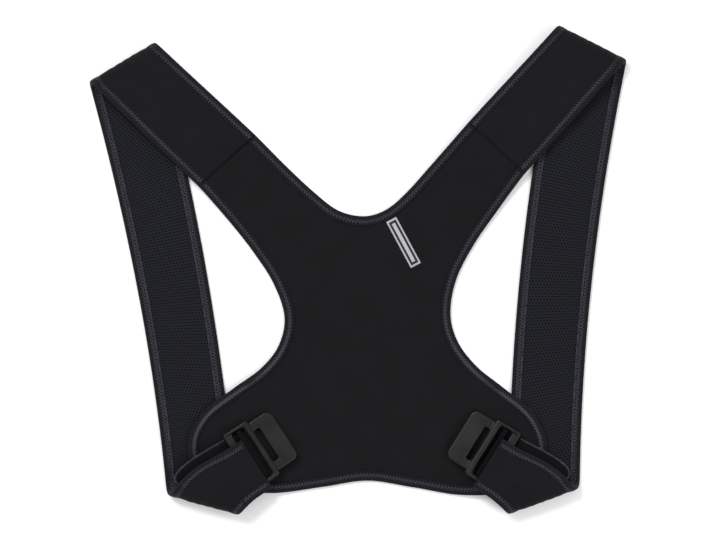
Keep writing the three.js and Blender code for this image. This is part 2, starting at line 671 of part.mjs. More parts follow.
// innerSide is the sign of Y on the side that the strap covers. The rib there starts past the strap.
function buckleGeometry(innerSide) {
  const frame = roundedBox(new THREE.Shape(), BUCKLE.outside, BUCKLE.barTo, BUCKLE_WIDTH / 2, FRAME_CORNER);
  frame.holes.push(roundedBox(
    new THREE.Path(), BUCKLE.slotFrom, BUCKLE.slotTo, SLOT_LENGTH / 2, SLOT_CORNER));
  const plate = roundedBox(
    new THREE.Shape(), BUCKLE.barTo - THIN_BAR / 2, BUCKLE.inside, PLATE_WIDTH / 2, PLATE_CORNER);
  const plateSlotHalf = PLATE_WIDTH / 2 - PLATE_SLOT_END;
  plate.holes.push(roundedBox(
    new THREE.Path(), BUCKLE.barTo, BUCKLE.plateFrom, plateSlotHalf, SLOT_CORNER));
  let solid = solidOf(bevelledPlate(frame, BUCKLE_EDGE)).add(solidOf(bevelledPlate(plate, BUCKLE_EDGE)));
  const ribEdge = 2 * BUCKLE_EDGE;
  const barRib = rib(BUCKLE_WIDTH - 2 * ribEdge, THIN_BAR - ribEdge).rotateZ(Math.PI / 2);
  solid = solid.add(solidOf(barRib.translate(BUCKLE.barTo - THIN_BAR / 2, 0, 0)));
  const ribStarts = { inner: BUCKLE.slotFrom + STRAP_OVERHANG + GAP, outer: BUCKLE.outside + FRAME_CORNER };
  for (const [start, edge] of [[ribStarts.inner, innerSide], [ribStarts.outer, -innerSide]]) {
    const armRib = rib(BUCKLE.barTo - THIN_BAR / 2 - start, SIDE_ARM - ribEdge);
    const middle = (start + BUCKLE.barTo - THIN_BAR / 2) / 2;
    solid = solid.add(solidOf(armRib.translate(middle, edge * (BUCKLE_WIDTH - SIDE_ARM) / 2, 0)));
  }
  const cut = solid.getMesh();
  const geometry = new THREE.BufferGeometry();
  geometry.setAttribute('position', new THREE.Float32BufferAttribute(cut.vertProperties, 3));
  geometry.setIndex([...cut.triVerts]);
  geometry.computeVertexNormals();
  return geometry;
}

// The frame at a strap's end: its way, its outward direction and the far bar's middle. The strap
// lies on the far bar and over the inner arm, and ends over the slot.
function buckleFrame(i) {
  const strap = straps[i];
  const end = strap.point(strap.end, OUTER * BUCKLE_SHIFT);
  const ahead = end.clone().sub(strap.point(strap.end - 0.1, OUTER * BUCKLE_SHIFT)).normalize();
  const out = strap.normal(strap.end, 0);
  const below = STRAP_HALF + GAP + BUCKLE_THICKNESS / 2;
  const place = end.clone().addScaledVector(out, -below);
  place.addScaledVector(ahead, -FAR_BAR / 2 - STRAP_OVERHANG);
  for (const v of [ahead, out, place]) {
    v.x *= SIDES[i].mirror;
  }
  return { place, ahead, out, across: out.clone().cross(ahead) };
}

// Sets the strap's end so that the buckle just lies on the panel, and its tail clears it.
function seatBuckle(i) {
  const strap = straps[i];
  const frame = buckleFrame(i);
  const lift = (x, y, z, panelOut) => {
    const p = frame.place.clone().addScaledVector(frame.ahead, x);
    p.addScaledVector(frame.across, y).addScaledVector(frame.out, z);
    return panelHeight(p.x, p.y) + panelOut + GAP - p.z;
  };
  const underside = -BUCKLE_THICKNESS / 2;
  const lifts = [];
  for (const share of [-1, -0.5, 0, 0.5, 1]) {
    const y = share * PLATE_WIDTH / 2;
    lifts.push(lift(BUCKLE.inside, y, underside, PANEL_THICKNESS / 2));
    lifts.push(lift(BUCKLE.plateFrom, y, underside, PANEL_THICKNESS / 2));
    lifts.push(lift(BUCKLE.slotTo, share * BUCKLE_WIDTH / 2, underside, PANEL_TAPE_HALF));
    lifts.push(lift(BUCKLE.outside, share * BUCKLE_WIDTH / 2, underside, PANEL_TAPE_HALF));
    const tailSide = share * TAIL_WIDTH / 2;
    const tailUnderside = underside - GAP - TAIL_THICKNESS;
    lifts.push(lift(BUCKLE.outside, tailSide, tailUnderside, PANEL_TAPE_HALF));
    lifts.push(lift(BUCKLE.slotFrom + STRAP_OVERHANG, tailSide, tailUnderside, PANEL_TAPE_HALF));
  }
  strap.endHeight += Math.max(...lifts);
}

// The tail: from the strap's end down into the slot, round the far bar and back beneath the strap.
// It is in line with the buckle, so it shows past the strap's outer edge.
function tailGeometry(i) {
  const strap = straps[i];
  const side = SIDES[i];
  const half = TAIL_THICKNESS / 2;
  const bend = BUCKLE_THICKNESS / 2 + GAP + half;
  const barMiddle = STRAP_HALF + GAP + BUCKLE_THICKNESS / 2;
  const out = strap.normal(strap.end, 0);
  const ahead = strap.point(strap.end, 0).sub(strap.point(strap.end - 0.1, 0)).normalize();
  const section = [[-1, half], [1, half], [1, -half], [-1, -half]];
  const rings = [];
  for (let k = 0; k <= TAIL_BEND_FACETS; k += 1) {
    const angle = Math.PI * k / TAIL_BEND_FACETS;
    rings.push(section.map(([edge, offset]) => {
      const reach = bend + offset;
      const p = strap.point(strap.end, OUTER * BUCKLE_SHIFT + edge * TAIL_WIDTH / 2);
      p.addScaledVector(out, reach * Math.cos(angle) - barMiddle);
      return p.addScaledVector(ahead, GAP + reach * Math.sin(angle));
    }));
  }
  const underBar = barMiddle + bend;
  const underStrap = STRAP_HALF + GAP + TAIL_THICKNESS / 2 + TAIL_SLACK;
  const pastBar = FAR_BAR + GAP + STRAP_OVERHANG;
  const rim = BUCKLE_SHIFT + TAIL_WIDTH / 2 - strap.reachAt(strap.end, OUTER);
  for (let k = 0; k <= TAIL_FACETS; k += 1) {
    const back = mix(pastBar, TAIL_LENGTH, k / TAIL_FACETS);
    const depth = mix(underBar, underStrap, smooth((back - pastBar) / TAIL_RISE));
    const u = strap.end - back;
    const outerEdge = -strap.reachAt(u, OUTER) - rim;
    rings.push(section.map(([edge, offset]) => {
      const v = outerEdge + (edge - OUTER) * TAIL_WIDTH / 2;
      return strap.point(u, v).addScaledVector(strap.normal(u, v), -depth - offset);
    }));
  }
  for (const p of rings.flat()) {
    p.x *= side.mirror;
  }
  return loftRings(rings, sectionFaces(section));
}

const assembly = new THREE.Group();

function addPiece(name, geometry, material) {
  const mesh = new THREE.Mesh(geometry, material.clone());
  mesh.name = name;
  assembly.add(mesh);
  return mesh;
}

addPiece('back_panel', panelGeometry(), PANEL_CLOTH);
addPiece('neck_binding', panelTapeGeometry(outlines.neck), TAPE_CLOTH);
addPiece('lower_binding', panelTapeGeometry(outlines.lower), TAPE_CLOTH);
addPiece('woven_label', labelGeometry(), LABEL_CLOTH);

SIDES.forEach((side, i) => {
  seatBuckle(i);
  const strap = straps[i];
  const strapTape = tapeSection(STRAP_HALF);
  const tapeAt = (edge) => strapTape.map(([inset, out]) => [edge, inset, out]);
  addPiece(`${side.name}_strap`, sweepAlongStrap(strap, side, strapSection()), STRAP_CLOTH);
  addPiece(`${side.name}_lining`, sweepAlongStrap(strap, side, liningSection()), MESH_CLOTH);
  addPiece(`${side.name}_inner_binding`, sweepAlongStrap(strap, side, tapeAt(INNER)), TAPE_CLOTH);
  addPiece(`${side.name}_outer_binding`, sweepAlongStrap(strap, side, tapeAt(OUTER)), TAPE_CLOTH);
  addPiece(`${side.name}_tail`, tailGeometry(i), STRAP_CLOTH);
  const buckle = addPiece(`${side.name}_buckle`, buckleGeometry(side.mirror), PLASTIC);
  const { place, ahead, out, across } = buckleFrame(i);
  buckle.position.copy(place);
  buckle.quaternion.setFromRotationMatrix(new THREE.Matrix4().makeBasis(ahead, across, out));
});

// The origin is on the floor under the middle of the whole.
const box = new THREE.Box3().setFromObject(assembly, true);
const middle = box.getCenter(new THREE.Vector3());
assembly.position.set(-middle.x, -middle.y, -box.min.z);
assembly.updateMatrixWorld(true);

export default assembly;
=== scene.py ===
"""The looks of a posture corrector that lies flat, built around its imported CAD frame.

Lengths in the tables are millimetres, as in the CAD, and become metres when a mesh is made.
"""

import math

import bpy
import numpy as np
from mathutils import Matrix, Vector


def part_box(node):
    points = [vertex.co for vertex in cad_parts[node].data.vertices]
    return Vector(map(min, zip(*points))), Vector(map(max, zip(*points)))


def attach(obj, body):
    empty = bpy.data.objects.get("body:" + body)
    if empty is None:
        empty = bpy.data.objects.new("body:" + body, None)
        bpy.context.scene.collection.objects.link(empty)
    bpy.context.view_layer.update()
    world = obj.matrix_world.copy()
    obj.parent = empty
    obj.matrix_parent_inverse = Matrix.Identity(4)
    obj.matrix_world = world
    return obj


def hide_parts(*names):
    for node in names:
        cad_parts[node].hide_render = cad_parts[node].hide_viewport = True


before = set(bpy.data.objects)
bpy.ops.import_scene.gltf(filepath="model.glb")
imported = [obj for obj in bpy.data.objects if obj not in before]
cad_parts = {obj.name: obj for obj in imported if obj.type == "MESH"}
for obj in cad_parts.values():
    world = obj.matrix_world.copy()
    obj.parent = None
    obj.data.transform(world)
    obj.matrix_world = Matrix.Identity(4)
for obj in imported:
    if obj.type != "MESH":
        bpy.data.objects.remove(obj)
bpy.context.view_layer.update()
MM = 0.001
INNER, OUTER = 1, -1
FINE = 2

# Sizes that the CAD has too
GAP = 0.3
TAPE_WIDTH = 8
TAPE_WALL = 0.8
PANEL_HALF_WIDTH = 150
PANEL_HEIGHT = 224
PANEL_THICKNESS = 2
ARM_RISE_LENGTH = 95
CORNER_SLOPE_LENGTH = 52
CORNER_HEAD = 75
WAIST_FOOT = 120
ARM_SPLIT = 20
STRAP_LEAD = 20
STRAP_WIDTH = 62
STRAP_THICKNESS = 4.2
LINING_THICKNESS = 1.4
SEAM_LIFT = 4.6
TOP_RUN_LENGTH = 112
FOLD_DROP = 8
FRONT_RUN_LENGTH = 34
SHOULDER_ROLL = 6.5
BOTTOM_ROLL = 9
TAIL_THICKNESS = 2
TAIL_SLACK = 0.4
TAIL_RISE = 14
BUCKLE_WIDTH = 54
BUCKLE_THICKNESS = 3
BUCKLE_TILT = 7
FAR_BAR = 7
THIN_BAR = 6.5
SIDE_ARM = 3.8
STRAP_SLOT = 11
PLATE_SLOT = 5
PLATE_LENGTH = 15.5
PLATE_WIDTH = 47
SLOT_CLEARANCE = 0.7
BUCKLE_SHIFT = 4.3
STRAP_OVERHANG = 4
LABEL_LENGTH = 44
LABEL_WIDTH = 9.5
LABEL_THICKNESS = 1
LABEL_ANGLE = -61.7
LABEL_PLACE = (0.201, 0.896)
SEAM_WIDTH_SHARE = 1.035

STRAP_HALF = STRAP_THICKNESS / 2
EDGE_HALF = STRAP_HALF - TAPE_WALL - GAP
PANEL_TAPE_HALF = PANEL_THICKNESS / 2 + GAP + TAPE_WALL
TAIL_WIDTH = BUCKLE_WIDTH - 2 * SIDE_ARM - 2 * SLOT_CLEARANCE

SIDES = [
    dict(name="left", mirror=-1, seam=(0.7907, 1.2036), heading=43.5, seam_angle=-42, top=1,
         shoulder_crease=-30.9, drop=1.41, back_turn=9.9, back_width=0.935, bottom_crease=15.5,
         front_turn=20.5),
    dict(name="right", mirror=1, seam=(0.7247, 1.2522), heading=47.9, seam_angle=-42, top=0.987,
         shoulder_crease=-26.9, drop=0.63, back_turn=11.2, back_width=0.965, bottom_crease=20,
         front_turn=17.5),
]

# The reach of the strap's inner and outer edges at each stretch's end, as shares of half its width
REACHES = {
    "top": (1, 1),
    "shoulder": (1, 1),
    "back": None,
    "bottom": (0.92, 0.92),
    "front": (0.92, 0.61),
    "bar": (0.92, 0.61),
}

# The panel's outline below the seams: across and up, for the left and for the right
LOWER_OUTLINE = [
    ((0.767, 0.967), (0.717, 1.005)),
    ((0.636, 0.854), (0.593, 0.884)),
    ((0.529, 0.741), (0.497, 0.756)),
    ((0.468, 0.617), (0.465, 0.628)),
    ((0.501, 0.508), (0.506, 0.523)),
    ((0.6, 0.423), (0.614, 0.429)),
    ((0.75, 0.35), (0.762, 0.35)),
    ((0.919, 0.263), (0.924, 0.26)),
    ((1.003, 0.158), (1.003, 0.151)),
    ((0.975, 0.053), (0.975, 0.053)),
    ((0.806, -0.026), (0.806, -0.036)),
    ((0.531, -0.046), (0.537, -0.054)),
    ((0.25, -0.023), (0.256, -0.025)),
]
WAIST_ROW = 3
CORNER_FOOT_ROW = 9
NECK_OUTLINE = [
    ((0.464, 1.187), (0.34, 1.175)),
    ((0.306, 1.088), (0.216, 1.083)),
    ((0.166, 1.017), (0.104, 1.02)),
]
NECK_LOW = (0.02, 0.995)


def towards(angle):
    return np.array([math.cos(angle), math.sin(angle)])


def mix(a, b, share):
    return a + (b - a) * share


def smooth(share):
    s = np.clip(share, 0, 1)
    return s * s * (3 - 2 * s)


def eased(share, length, start, start_slope, end, end_slope):
    """A cubic from one height and slope to another over a length."""
    s = np.clip(share, 0, 1)
    return (
        (2 * s**3 - 3 * s**2 + 1) * start
        + (s**3 - 2 * s**2 + s) * length * start_slope
        + (3 * s**2 - 2 * s**3) * end
        + (s**3 - s**2) * length * end_slope
    )


def unit(v):
    return v / np.maximum(np.linalg.norm(v, axis=-1, keepdims=True), 1e-12)


def seam_middle(side):
    return np.array([side["seam"][0] * PANEL_HALF_WIDTH, side["seam"][1] * PANEL_HEIGHT])


def seam_distance(side, outward, y):
    """How far a place is below a side's seam, with x counted outward."""
    normal = towards(math.radians(side["seam_angle"]) + math.pi / 2)
    middle = seam_middle(side)
    return (middle[0] - outward) * normal[0] + (middle[1] - y) * normal[1]


class Roll:
    """A round fold of a radius, from a place on, over a crease line and forward."""

    def __init__(self, place, line, way, radius):
        normal = towards(line + math.pi / 2)
        self.normal = -normal if normal @ towards(way) < 0 else normal
        self.place = place
        self.radius = radius
        self.wrap = math.pi * radius

    def length(self, way):
        return self.wrap / (self.normal @ towards(way))

    def laid(self, flat):
        """How far places are past the fold's start, their angle on it and where they lie on and after it."""
        past = (flat - self.place) @ self.normal
        angle = np.clip(past, 0, self.wrap) / self.radius
        on = flat + (self.radius * np.sin(angle) - past)[..., None] * self.normal
        after = flat + (self.wrap - 2 * past)[..., None] * self.normal
        return past, angle, on, after


class Strap:
    """A strap's middle surface, by u along it from the seam and v across it."""

    def __init__(self, side):
        self.mirror = side["mirror"]
        self.name = side["name"]
        self.flip = np.array([self.mirror, 1, 1])
        self.rows = []
        first = math.radians(side["heading"])
        crease = math.radians(side["shoulder_crease"])
        foot = math.radians(side["bottom_crease"])
        foot_flat = 2 * crease - foot
        self.place = seam_middle(side)
        top_length = side["top"] * TOP_RUN_LENGTH
        back_length = self.place[1] + top_length * math.sin(first) + side["drop"] * FOLD_DROP
        self.heading, self.start = first, 0.0
        self.width = (SEAM_WIDTH_SHARE, SEAM_WIDTH_SHARE)
        self.back_width = side["back_width"]
        self.add("top", top_length, 0, math.radians(side["seam_angle"]), crease)
        self.shoulder = Roll(self.place, crease, first, SHOULDER_ROLL)
        self.add("shoulder", self.shoulder.length(first), 0, crease, crease)
        self.add("back", back_length, -math.radians(side["back_turn"]), crease, foot_flat)
        foot_heading = 2 * crease - self.heading
        self.foot = Roll(self.shoulder.laid(self.place)[3], foot, foot_heading, BOTTOM_ROLL)
        self.add("bottom", self.foot.length(foot_heading), 0, foot_flat, foot_flat)
        turn = math.radians(side["front_turn"])
        end_row = self.heading + turn + math.pi / 2
        self.add("front", FRONT_RUN_LENGTH, turn, foot_flat, end_row)
        self.over_bar = FAR_BAR + 2 * GAP + STRAP_OVERHANG
        self.add("bar", self.over_bar, 0, self.heading + math.pi / 2, self.heading + math.pi / 2)
        self.end = self.start
        self.end_height = 0.0
        self.t = {key: np.array([row[key] for row in self.rows]) for key in self.rows[0]}
        self.starts = {row["name"]: row["start"] for row in self.rows}

    def add(self, name, length, turn, row_from, row_to):
        """Adds a stretch of the flat pattern, straight or evenly turned."""
        width = REACHES[name] or (self.back_width, self.back_width)
        self.rows.append(dict(name=name, start=self.start, length=length, turn=turn, heading=self.heading,
                              place=self.place, row_from=row_from, row_to=row_to, width_from=self.width,
                              width_to=width))
        bend = turn / length
        chord = length if abs(bend) < 1e-9 else math.sin(turn / 2) * 2 / bend
        self.place = self.place + towards(self.heading + turn / 2) * chord
        self.heading += turn
        self.start += length
        self.width = width

    def at(self, u):
        return np.clip(np.searchsorted(self.t["start"], u, side="right") - 1, 0, len(self.rows) - 1)

    def share(self, u, k):
        """How far along its stretch a row is, from 0 to 1."""
        return (u - self.t["start"][k]) / self.t["length"][k]

    def reach(self, u, edge):
        """How far an edge is from the strap's middle line."""
        k = self.at(u)
        width_from, width_to = (self.t[key][k, 0 if edge > 0 else 1] for key in ("width_from", "width_to"))
        return STRAP_WIDTH / 2 * mix(width_from, width_to, smooth(self.share(u, k)))

    def slant(self, u):
        """How far a row runs along the strap for each step across it."""
        k = self.at(u)

        def ratio(row, way):
            return np.cos(row - way) / np.cos(row - way - math.pi / 2)

        begin = ratio(self.t["row_from"][k], self.t["heading"][k])
        final = ratio(self.t["row_to"][k], self.t["heading"][k] + self.t["turn"][k])
        return mix(begin, final, self.share(u, k))

    def lift(self, u):
        """How far the upper stretches rise above the height that their roll gives them."""
        k = self.at(u)
        share = self.share(u, k)
        over_run = STRAP_HALF + 2 * SHOULDER_ROLL
        over_foot = STRAP_HALF + 2 * BOTTOM_ROLL
        fall = math.tan(math.radians(BUCKLE_TILT))
        seam = PANEL_TAPE_HALF + SEAM_LIFT
        slope = 2 * SEAM_LIFT / ARM_RISE_LENGTH
        length = self.t["length"][k]
        top = eased(share, length, seam, slope, over_run, 0) - over_run
        bar_end = self.end_height + self.over_bar * fall
        front = eased(share, length, over_foot, 0, bar_end, -fall) - over_foot
        bar = self.end_height + (self.end - u) * fall - over_foot
        name = self.t["name"][k]
        return np.select([name == "top", name == "front", name == "bar"], [top, front, bar], 0.0)

    def raw(self, u, v):
        """A point of the middle surface, as if on the right side, before centring."""
        u, v = np.broadcast_arrays(np.asarray(u, float), np.asarray(v, float))
        along = u + v * self.slant(u)
        k = self.at(along)
        d = along - self.t["start"][k]
        bend = self.t["turn"][k] / self.t["length"][k]
        safe = np.where(np.abs(bend) < 1e-9, 1.0, bend)
        chord = np.where(np.abs(bend) < 1e-9, d, np.sin(bend * d / 2) * 2 / safe)
        angle = self.t["heading"][k] + bend * d / 2
        turned = self.t["heading"][k] + bend * d + math.pi / 2
        flat = self.t["place"][k] + np.stack([np.cos(angle), np.sin(angle)], -1) * chord[..., None]
        flat = flat + np.stack([np.cos(turned), np.sin(turned)], -1) * v[..., None]
        past, angle, on_shoulder, under = self.shoulder.laid(flat)
        past_foot, foot_angle, on_foot, over = self.foot.laid(under)
        lift = self.lift(u)
        cases = [past <= 0, past < self.shoulder.wrap, past_foot <= 0, past_foot < self.foot.wrap]
        plan = np.select([case[..., None] for case in cases], [flat, on_shoulder, under, on_foot], over)
        heights = [2 * SHOULDER_ROLL + lift, SHOULDER_ROLL * (1 + np.cos(angle)), 0.0,
                   BOTTOM_ROLL * (1 - np.cos(foot_angle))]
        z = STRAP_HALF + np.select(cases, heights, 2 * BOTTOM_ROLL + lift)
        return np.concatenate([plan, z[..., None]], -1)

    def normal(self, u, v):
        step = 0.05
        ahead = self.raw(np.minimum(self.end, u + step), v) - self.raw(np.maximum(0, u - step), v)
        across = self.raw(u, v + step) - self.raw(u, v - step)
        return unit(np.cross(ahead, across))

    def offset(self, u, v, out):
        """A point at an offset from the middle surface, on its own side, before centring."""
        u, v, out = np.broadcast_arrays(np.asarray(u, float), np.asarray(v, float), np.asarray(out, float))
        p = self.raw(u, v) + self.normal(u, v) * out[..., None]
        return p * self.flip


straps = [Strap(side) for side in SIDES]
FOOT_EDGES = [float(s.raw(s.starts["bottom"], s.reach(s.starts["bottom"], INNER))[0]) for s in straps]


def panel_height(x, y):
    """The panel's middle: on the floor, up to the seams and up over the straps' back runs."""
    height = np.full(np.broadcast(x, y).shape, float(PANEL_TAPE_HALF))
    for side, edge in zip(SIDES, FOOT_EDGES):
        outward = side["mirror"] * x
        from_seam = seam_distance(side, outward, y)
        arm = smooth((outward + ARM_SPLIT) / (2 * ARM_SPLIT))
        height = height + SEAM_LIFT * np.maximum(0, 1 - from_seam / ARM_RISE_LENGTH) ** 2 * arm
        on_run = (outward - edge + CORNER_SLOPE_LENGTH) / (CORNER_SLOPE_LENGTH - TAPE_WIDTH)
        below = smooth((WAIST_FOOT - y) / (WAIST_FOOT - CORNER_HEAD))
        height = height + (STRAP_THICKNESS + GAP) * smooth(on_run) * below
    return height


def panel_point(spot, out):
    """A point at an offset from the panel's middle."""
    step = 0.5
    x, y = spot[..., 0], spot[..., 1]
    dx = panel_height(x + step, y) - panel_height(x - step, y)
    dy = panel_height(x, y + step) - panel_height(x, y - step)
    normal = unit(np.stack([-dx, -dy, np.full_like(dx, 2 * step)], -1))
    middle = np.stack([x, y, panel_height(x, y)], -1)
    return middle + normal * np.broadcast_to(out, x.shape)[..., None]


def smooth_curve(points, per_span):
    """A curve through all points but the first and the last, which only steer its ends."""
    curve = []
    for i in range(1, len(points) - 2):
        p0, p1, p2, p3 = points[i - 1:i + 3]
        for k in range(per_span):
            s = k / per_span
            curve.append(0.5 * (2 * p1 + (p2 - p0) * s + (2 * p0 - 5 * p1 + 4 * p2 - p3) * s**2
                                + (3 * p1 - p0 - 3 * p2 + p3) * s**3))
    curve.append(points[-2])
    return np.array(curve)


def seam_corner(i, edge, u):
    return (straps[i].raw(u, edge * straps[i].reach(0, edge)) * straps[i].flip)[:2]


def spots(i, edge, table):
    """One side's places on an outline, from the strap down."""
    scale = np.array([SIDES[i]["mirror"] * PANEL_HALF_WIDTH, PANEL_HEIGHT])
    return [seam_corner(i, edge, STRAP_LEAD), seam_corner(i, edge, -GAP), *(row[i] * scale for row in table)]


def outline(points, inward_turn, per_span):
    """Places on the curve with the inward direction at each."""
    curve = smooth_curve(points, per_span)
    way = unit(np.concatenate([curve[1:2] - curve[:1], curve[2:] - curve[:-2], curve[-1:] - curve[-2:-1]]))
    inward = np.stack([-way[:, 1], way[:, 0]], -1) * inward_turn
    return curve, inward


def panel_outlines(per_span):
    """The panel's two edges from seam to seam, each with its inward directions."""
    lower = [*spots(0, OUTER, LOWER_OUTLINE), np.zeros(2), *spots(1, OUTER, LOWER_OUTLINE)[::-1]]
    middle = np.array([-NECK_LOW[0] * PANEL_HALF_WIDTH, NECK_LOW[1] * PANEL_HEIGHT])
    neck = [*spots(0, INNER, NECK_OUTLINE), middle, *spots(1, INNER, NECK_OUTLINE)[::-1]]
    lines = {"lower": outline(lower, 1, per_span), "neck": outline(neck, -1, per_span)}
    for i, end in ((0, 0), (1, -1)):
        across = unit(seam_corner(i, INNER, 0) - seam_corner(i, OUTER, 0))
        lines["lower"][1][end] = across
        lines["neck"][1][end] = -across
    return lines


def buckle_frame(strap):
    """The buckle's place and axes before centring: ahead, across and out."""
    end = strap.raw(strap.end, OUTER * BUCKLE_SHIFT)
    ahead = unit(end - strap.raw(strap.end - 0.1, OUTER * BUCKLE_SHIFT))
    out = strap.normal(strap.end, 0.0)
    below = STRAP_HALF + GAP + BUCKLE_THICKNESS / 2
    place = end - out * below - ahead * (FAR_BAR / 2 + STRAP_OVERHANG)
    place, ahead, out = place * strap.flip, ahead * strap.flip, out * strap.flip
    return place, ahead, np.cross(out, ahead), out


def seat_buckle(strap):
    """Raises the strap's end until the buckle just lies on the panel, as the CAD does."""
    place, ahead, across, out = buckle_frame(strap)
    slot_from = FAR_BAR / 2
    slot_to = slot_from + STRAP_SLOT
    plate_from = slot_to + THIN_BAR + PLATE_SLOT
    under = -BUCKLE_THICKNESS / 2
    tail_under = under - GAP - TAIL_THICKNESS
    lines = (
        (plate_from + PLATE_LENGTH, PLATE_WIDTH, under, PANEL_THICKNESS / 2),
        (plate_from, PLATE_WIDTH, under, PANEL_THICKNESS / 2),
        (slot_to, BUCKLE_WIDTH, under, PANEL_TAPE_HALF),
        (-slot_from, BUCKLE_WIDTH, under, PANEL_TAPE_HALF),
        (-slot_from, TAIL_WIDTH, tail_under, PANEL_TAPE_HALF),
        (slot_from + STRAP_OVERHANG, TAIL_WIDTH, tail_under, PANEL_TAPE_HALF),
    )
    lifts = []
    for x, width, z, panel_out in lines:
        for share in (-0.5, -0.25, 0, 0.25, 0.5):
            p = place + ahead * x + across * (share * width) + out * z
            lifts.append(float(panel_height(p[0], p[1])) + panel_out + GAP - p[2])
    strap.end_height += max(lifts)


for strap in straps:
    seat_buckle(strap)

# The CAD centres the whole on the origin. The label's middle says by how much.
label_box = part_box("woven_label")
label_middle = (Vector(label_box[0]) + Vector(label_box[1])) / 2
SHIFT = np.array([label_middle.x / MM - LABEL_PLACE[0] * PANEL_HALF_WIDTH,
                  label_middle.y / MM - LABEL_PLACE[1] * PANEL_HEIGHT, 0.0])


def placed(points):
    """Points before centring, in millimetres, as metres in the row's frame."""
    return (np.asarray(points) + SHIFT) * MM


def linked(name, data):
    """A new object in the scene."""
    obj = bpy.data.objects.new(name, data)
    bpy.context.scene.collection.objects.link(obj)
    return obj


def stand_in(obj, node):
    """Hides the CAD node that a piece is shown in place of."""
    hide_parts(node)
    return obj


def mesh_object(name, points, faces, uvs, material):
    """An object from points before centring, faces and one UV per face corner."""
    mesh = bpy.data.meshes.new(name)
    mesh.from_pydata(placed(points).tolist(), [], faces)
    layer = mesh.uv_layers.new(name="UVMap")
    layer.data.foreach_set("uv", np.asarray(uvs, np.float32).ravel())
    mesh.polygons.foreach_set("use_smooth", [True] * len(mesh.polygons))
    mesh.materials.append(material)
    mesh.validate()
    mesh.update()
    obj = linked(name, mesh)
    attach(obj, "root")
    return obj


def tube(count, size):
    """A closed tube's faces, each by its corners' rows and columns."""
    faces = [[(i, k), (i, k + 1), (i + 1, k + 1), (i + 1, k)] for i in range(count - 1) for k in range(size)]
    return faces + [[(0, k) for k in range(size)][::-1], [(count - 1, k) for k in range(size)]]


def sweep(name, rings, along, around, material):
    """A closed tube through rings of points. along and around are the UV of its rows and columns."""
    count, size = rings.shape[:2]
    faces, uvs = [], []
    for face in tube(count, size):
        faces.append([i * size + k % size for i, k in face])
        uvs += [(along[i], around[k]) for i, k in face]
    obj = mesh_object(name, rings.reshape(-1, 3), faces, uvs, material)
    face_out(obj)
    return obj


def face_out(obj):
    """Turns a closed mesh's faces so that they face out."""
    mesh = obj.data
    mesh.calc_loop_triangles()
    co = np.empty(len(mesh.vertices) * 3, np.float32)
    mesh.vertices.foreach_get("co", co)
    tri = np.empty(len(mesh.loop_triangles) * 3, np.int32)
    mesh.loop_triangles.foreach_get("vertices", tri)
    a, b, c = co.reshape(-1, 3).astype(float)[tri.reshape(-1, 3)].transpose(1, 0, 2)
    if np.einsum("ij,ij->", a, np.cross(b, c)) < 0:
        mesh.flip_normals()


RIPPLE_WAVES = 7
RIPPLE_LENGTHS = (18, 70)


def ripple(u, v, seed):
    """A smooth uneven surface of about unit height, from a few crossed waves."""
    rng = np.random.default_rng(seed)
    total = 0
    for _ in range(RIPPLE_WAVES):
        wave = rng.uniform(*RIPPLE_LENGTHS)
        angle = rng.uniform(0, math.pi)
        phase = rng.uniform(0, 2 * math.pi)
        total = total + np.sin((u * math.cos(angle) + v * math.sin(angle)) * 2 * math.pi / wave + phase)
    return total / (RIPPLE_WAVES / 2)


# Materials. Each is built from nodes alone, over UV maps in centimetres.

def shade(*channels):
    """A colour from its eight-bit values."""
    c = np.array(channels) / 255
    return (*np.where(c <= 0.04045, c / 12.92, ((c + 0.055) / 1.055) ** 2.4), 1)


def tinted(colour, share):
    return tuple(c * share for c in colour[:3]) + (1,)


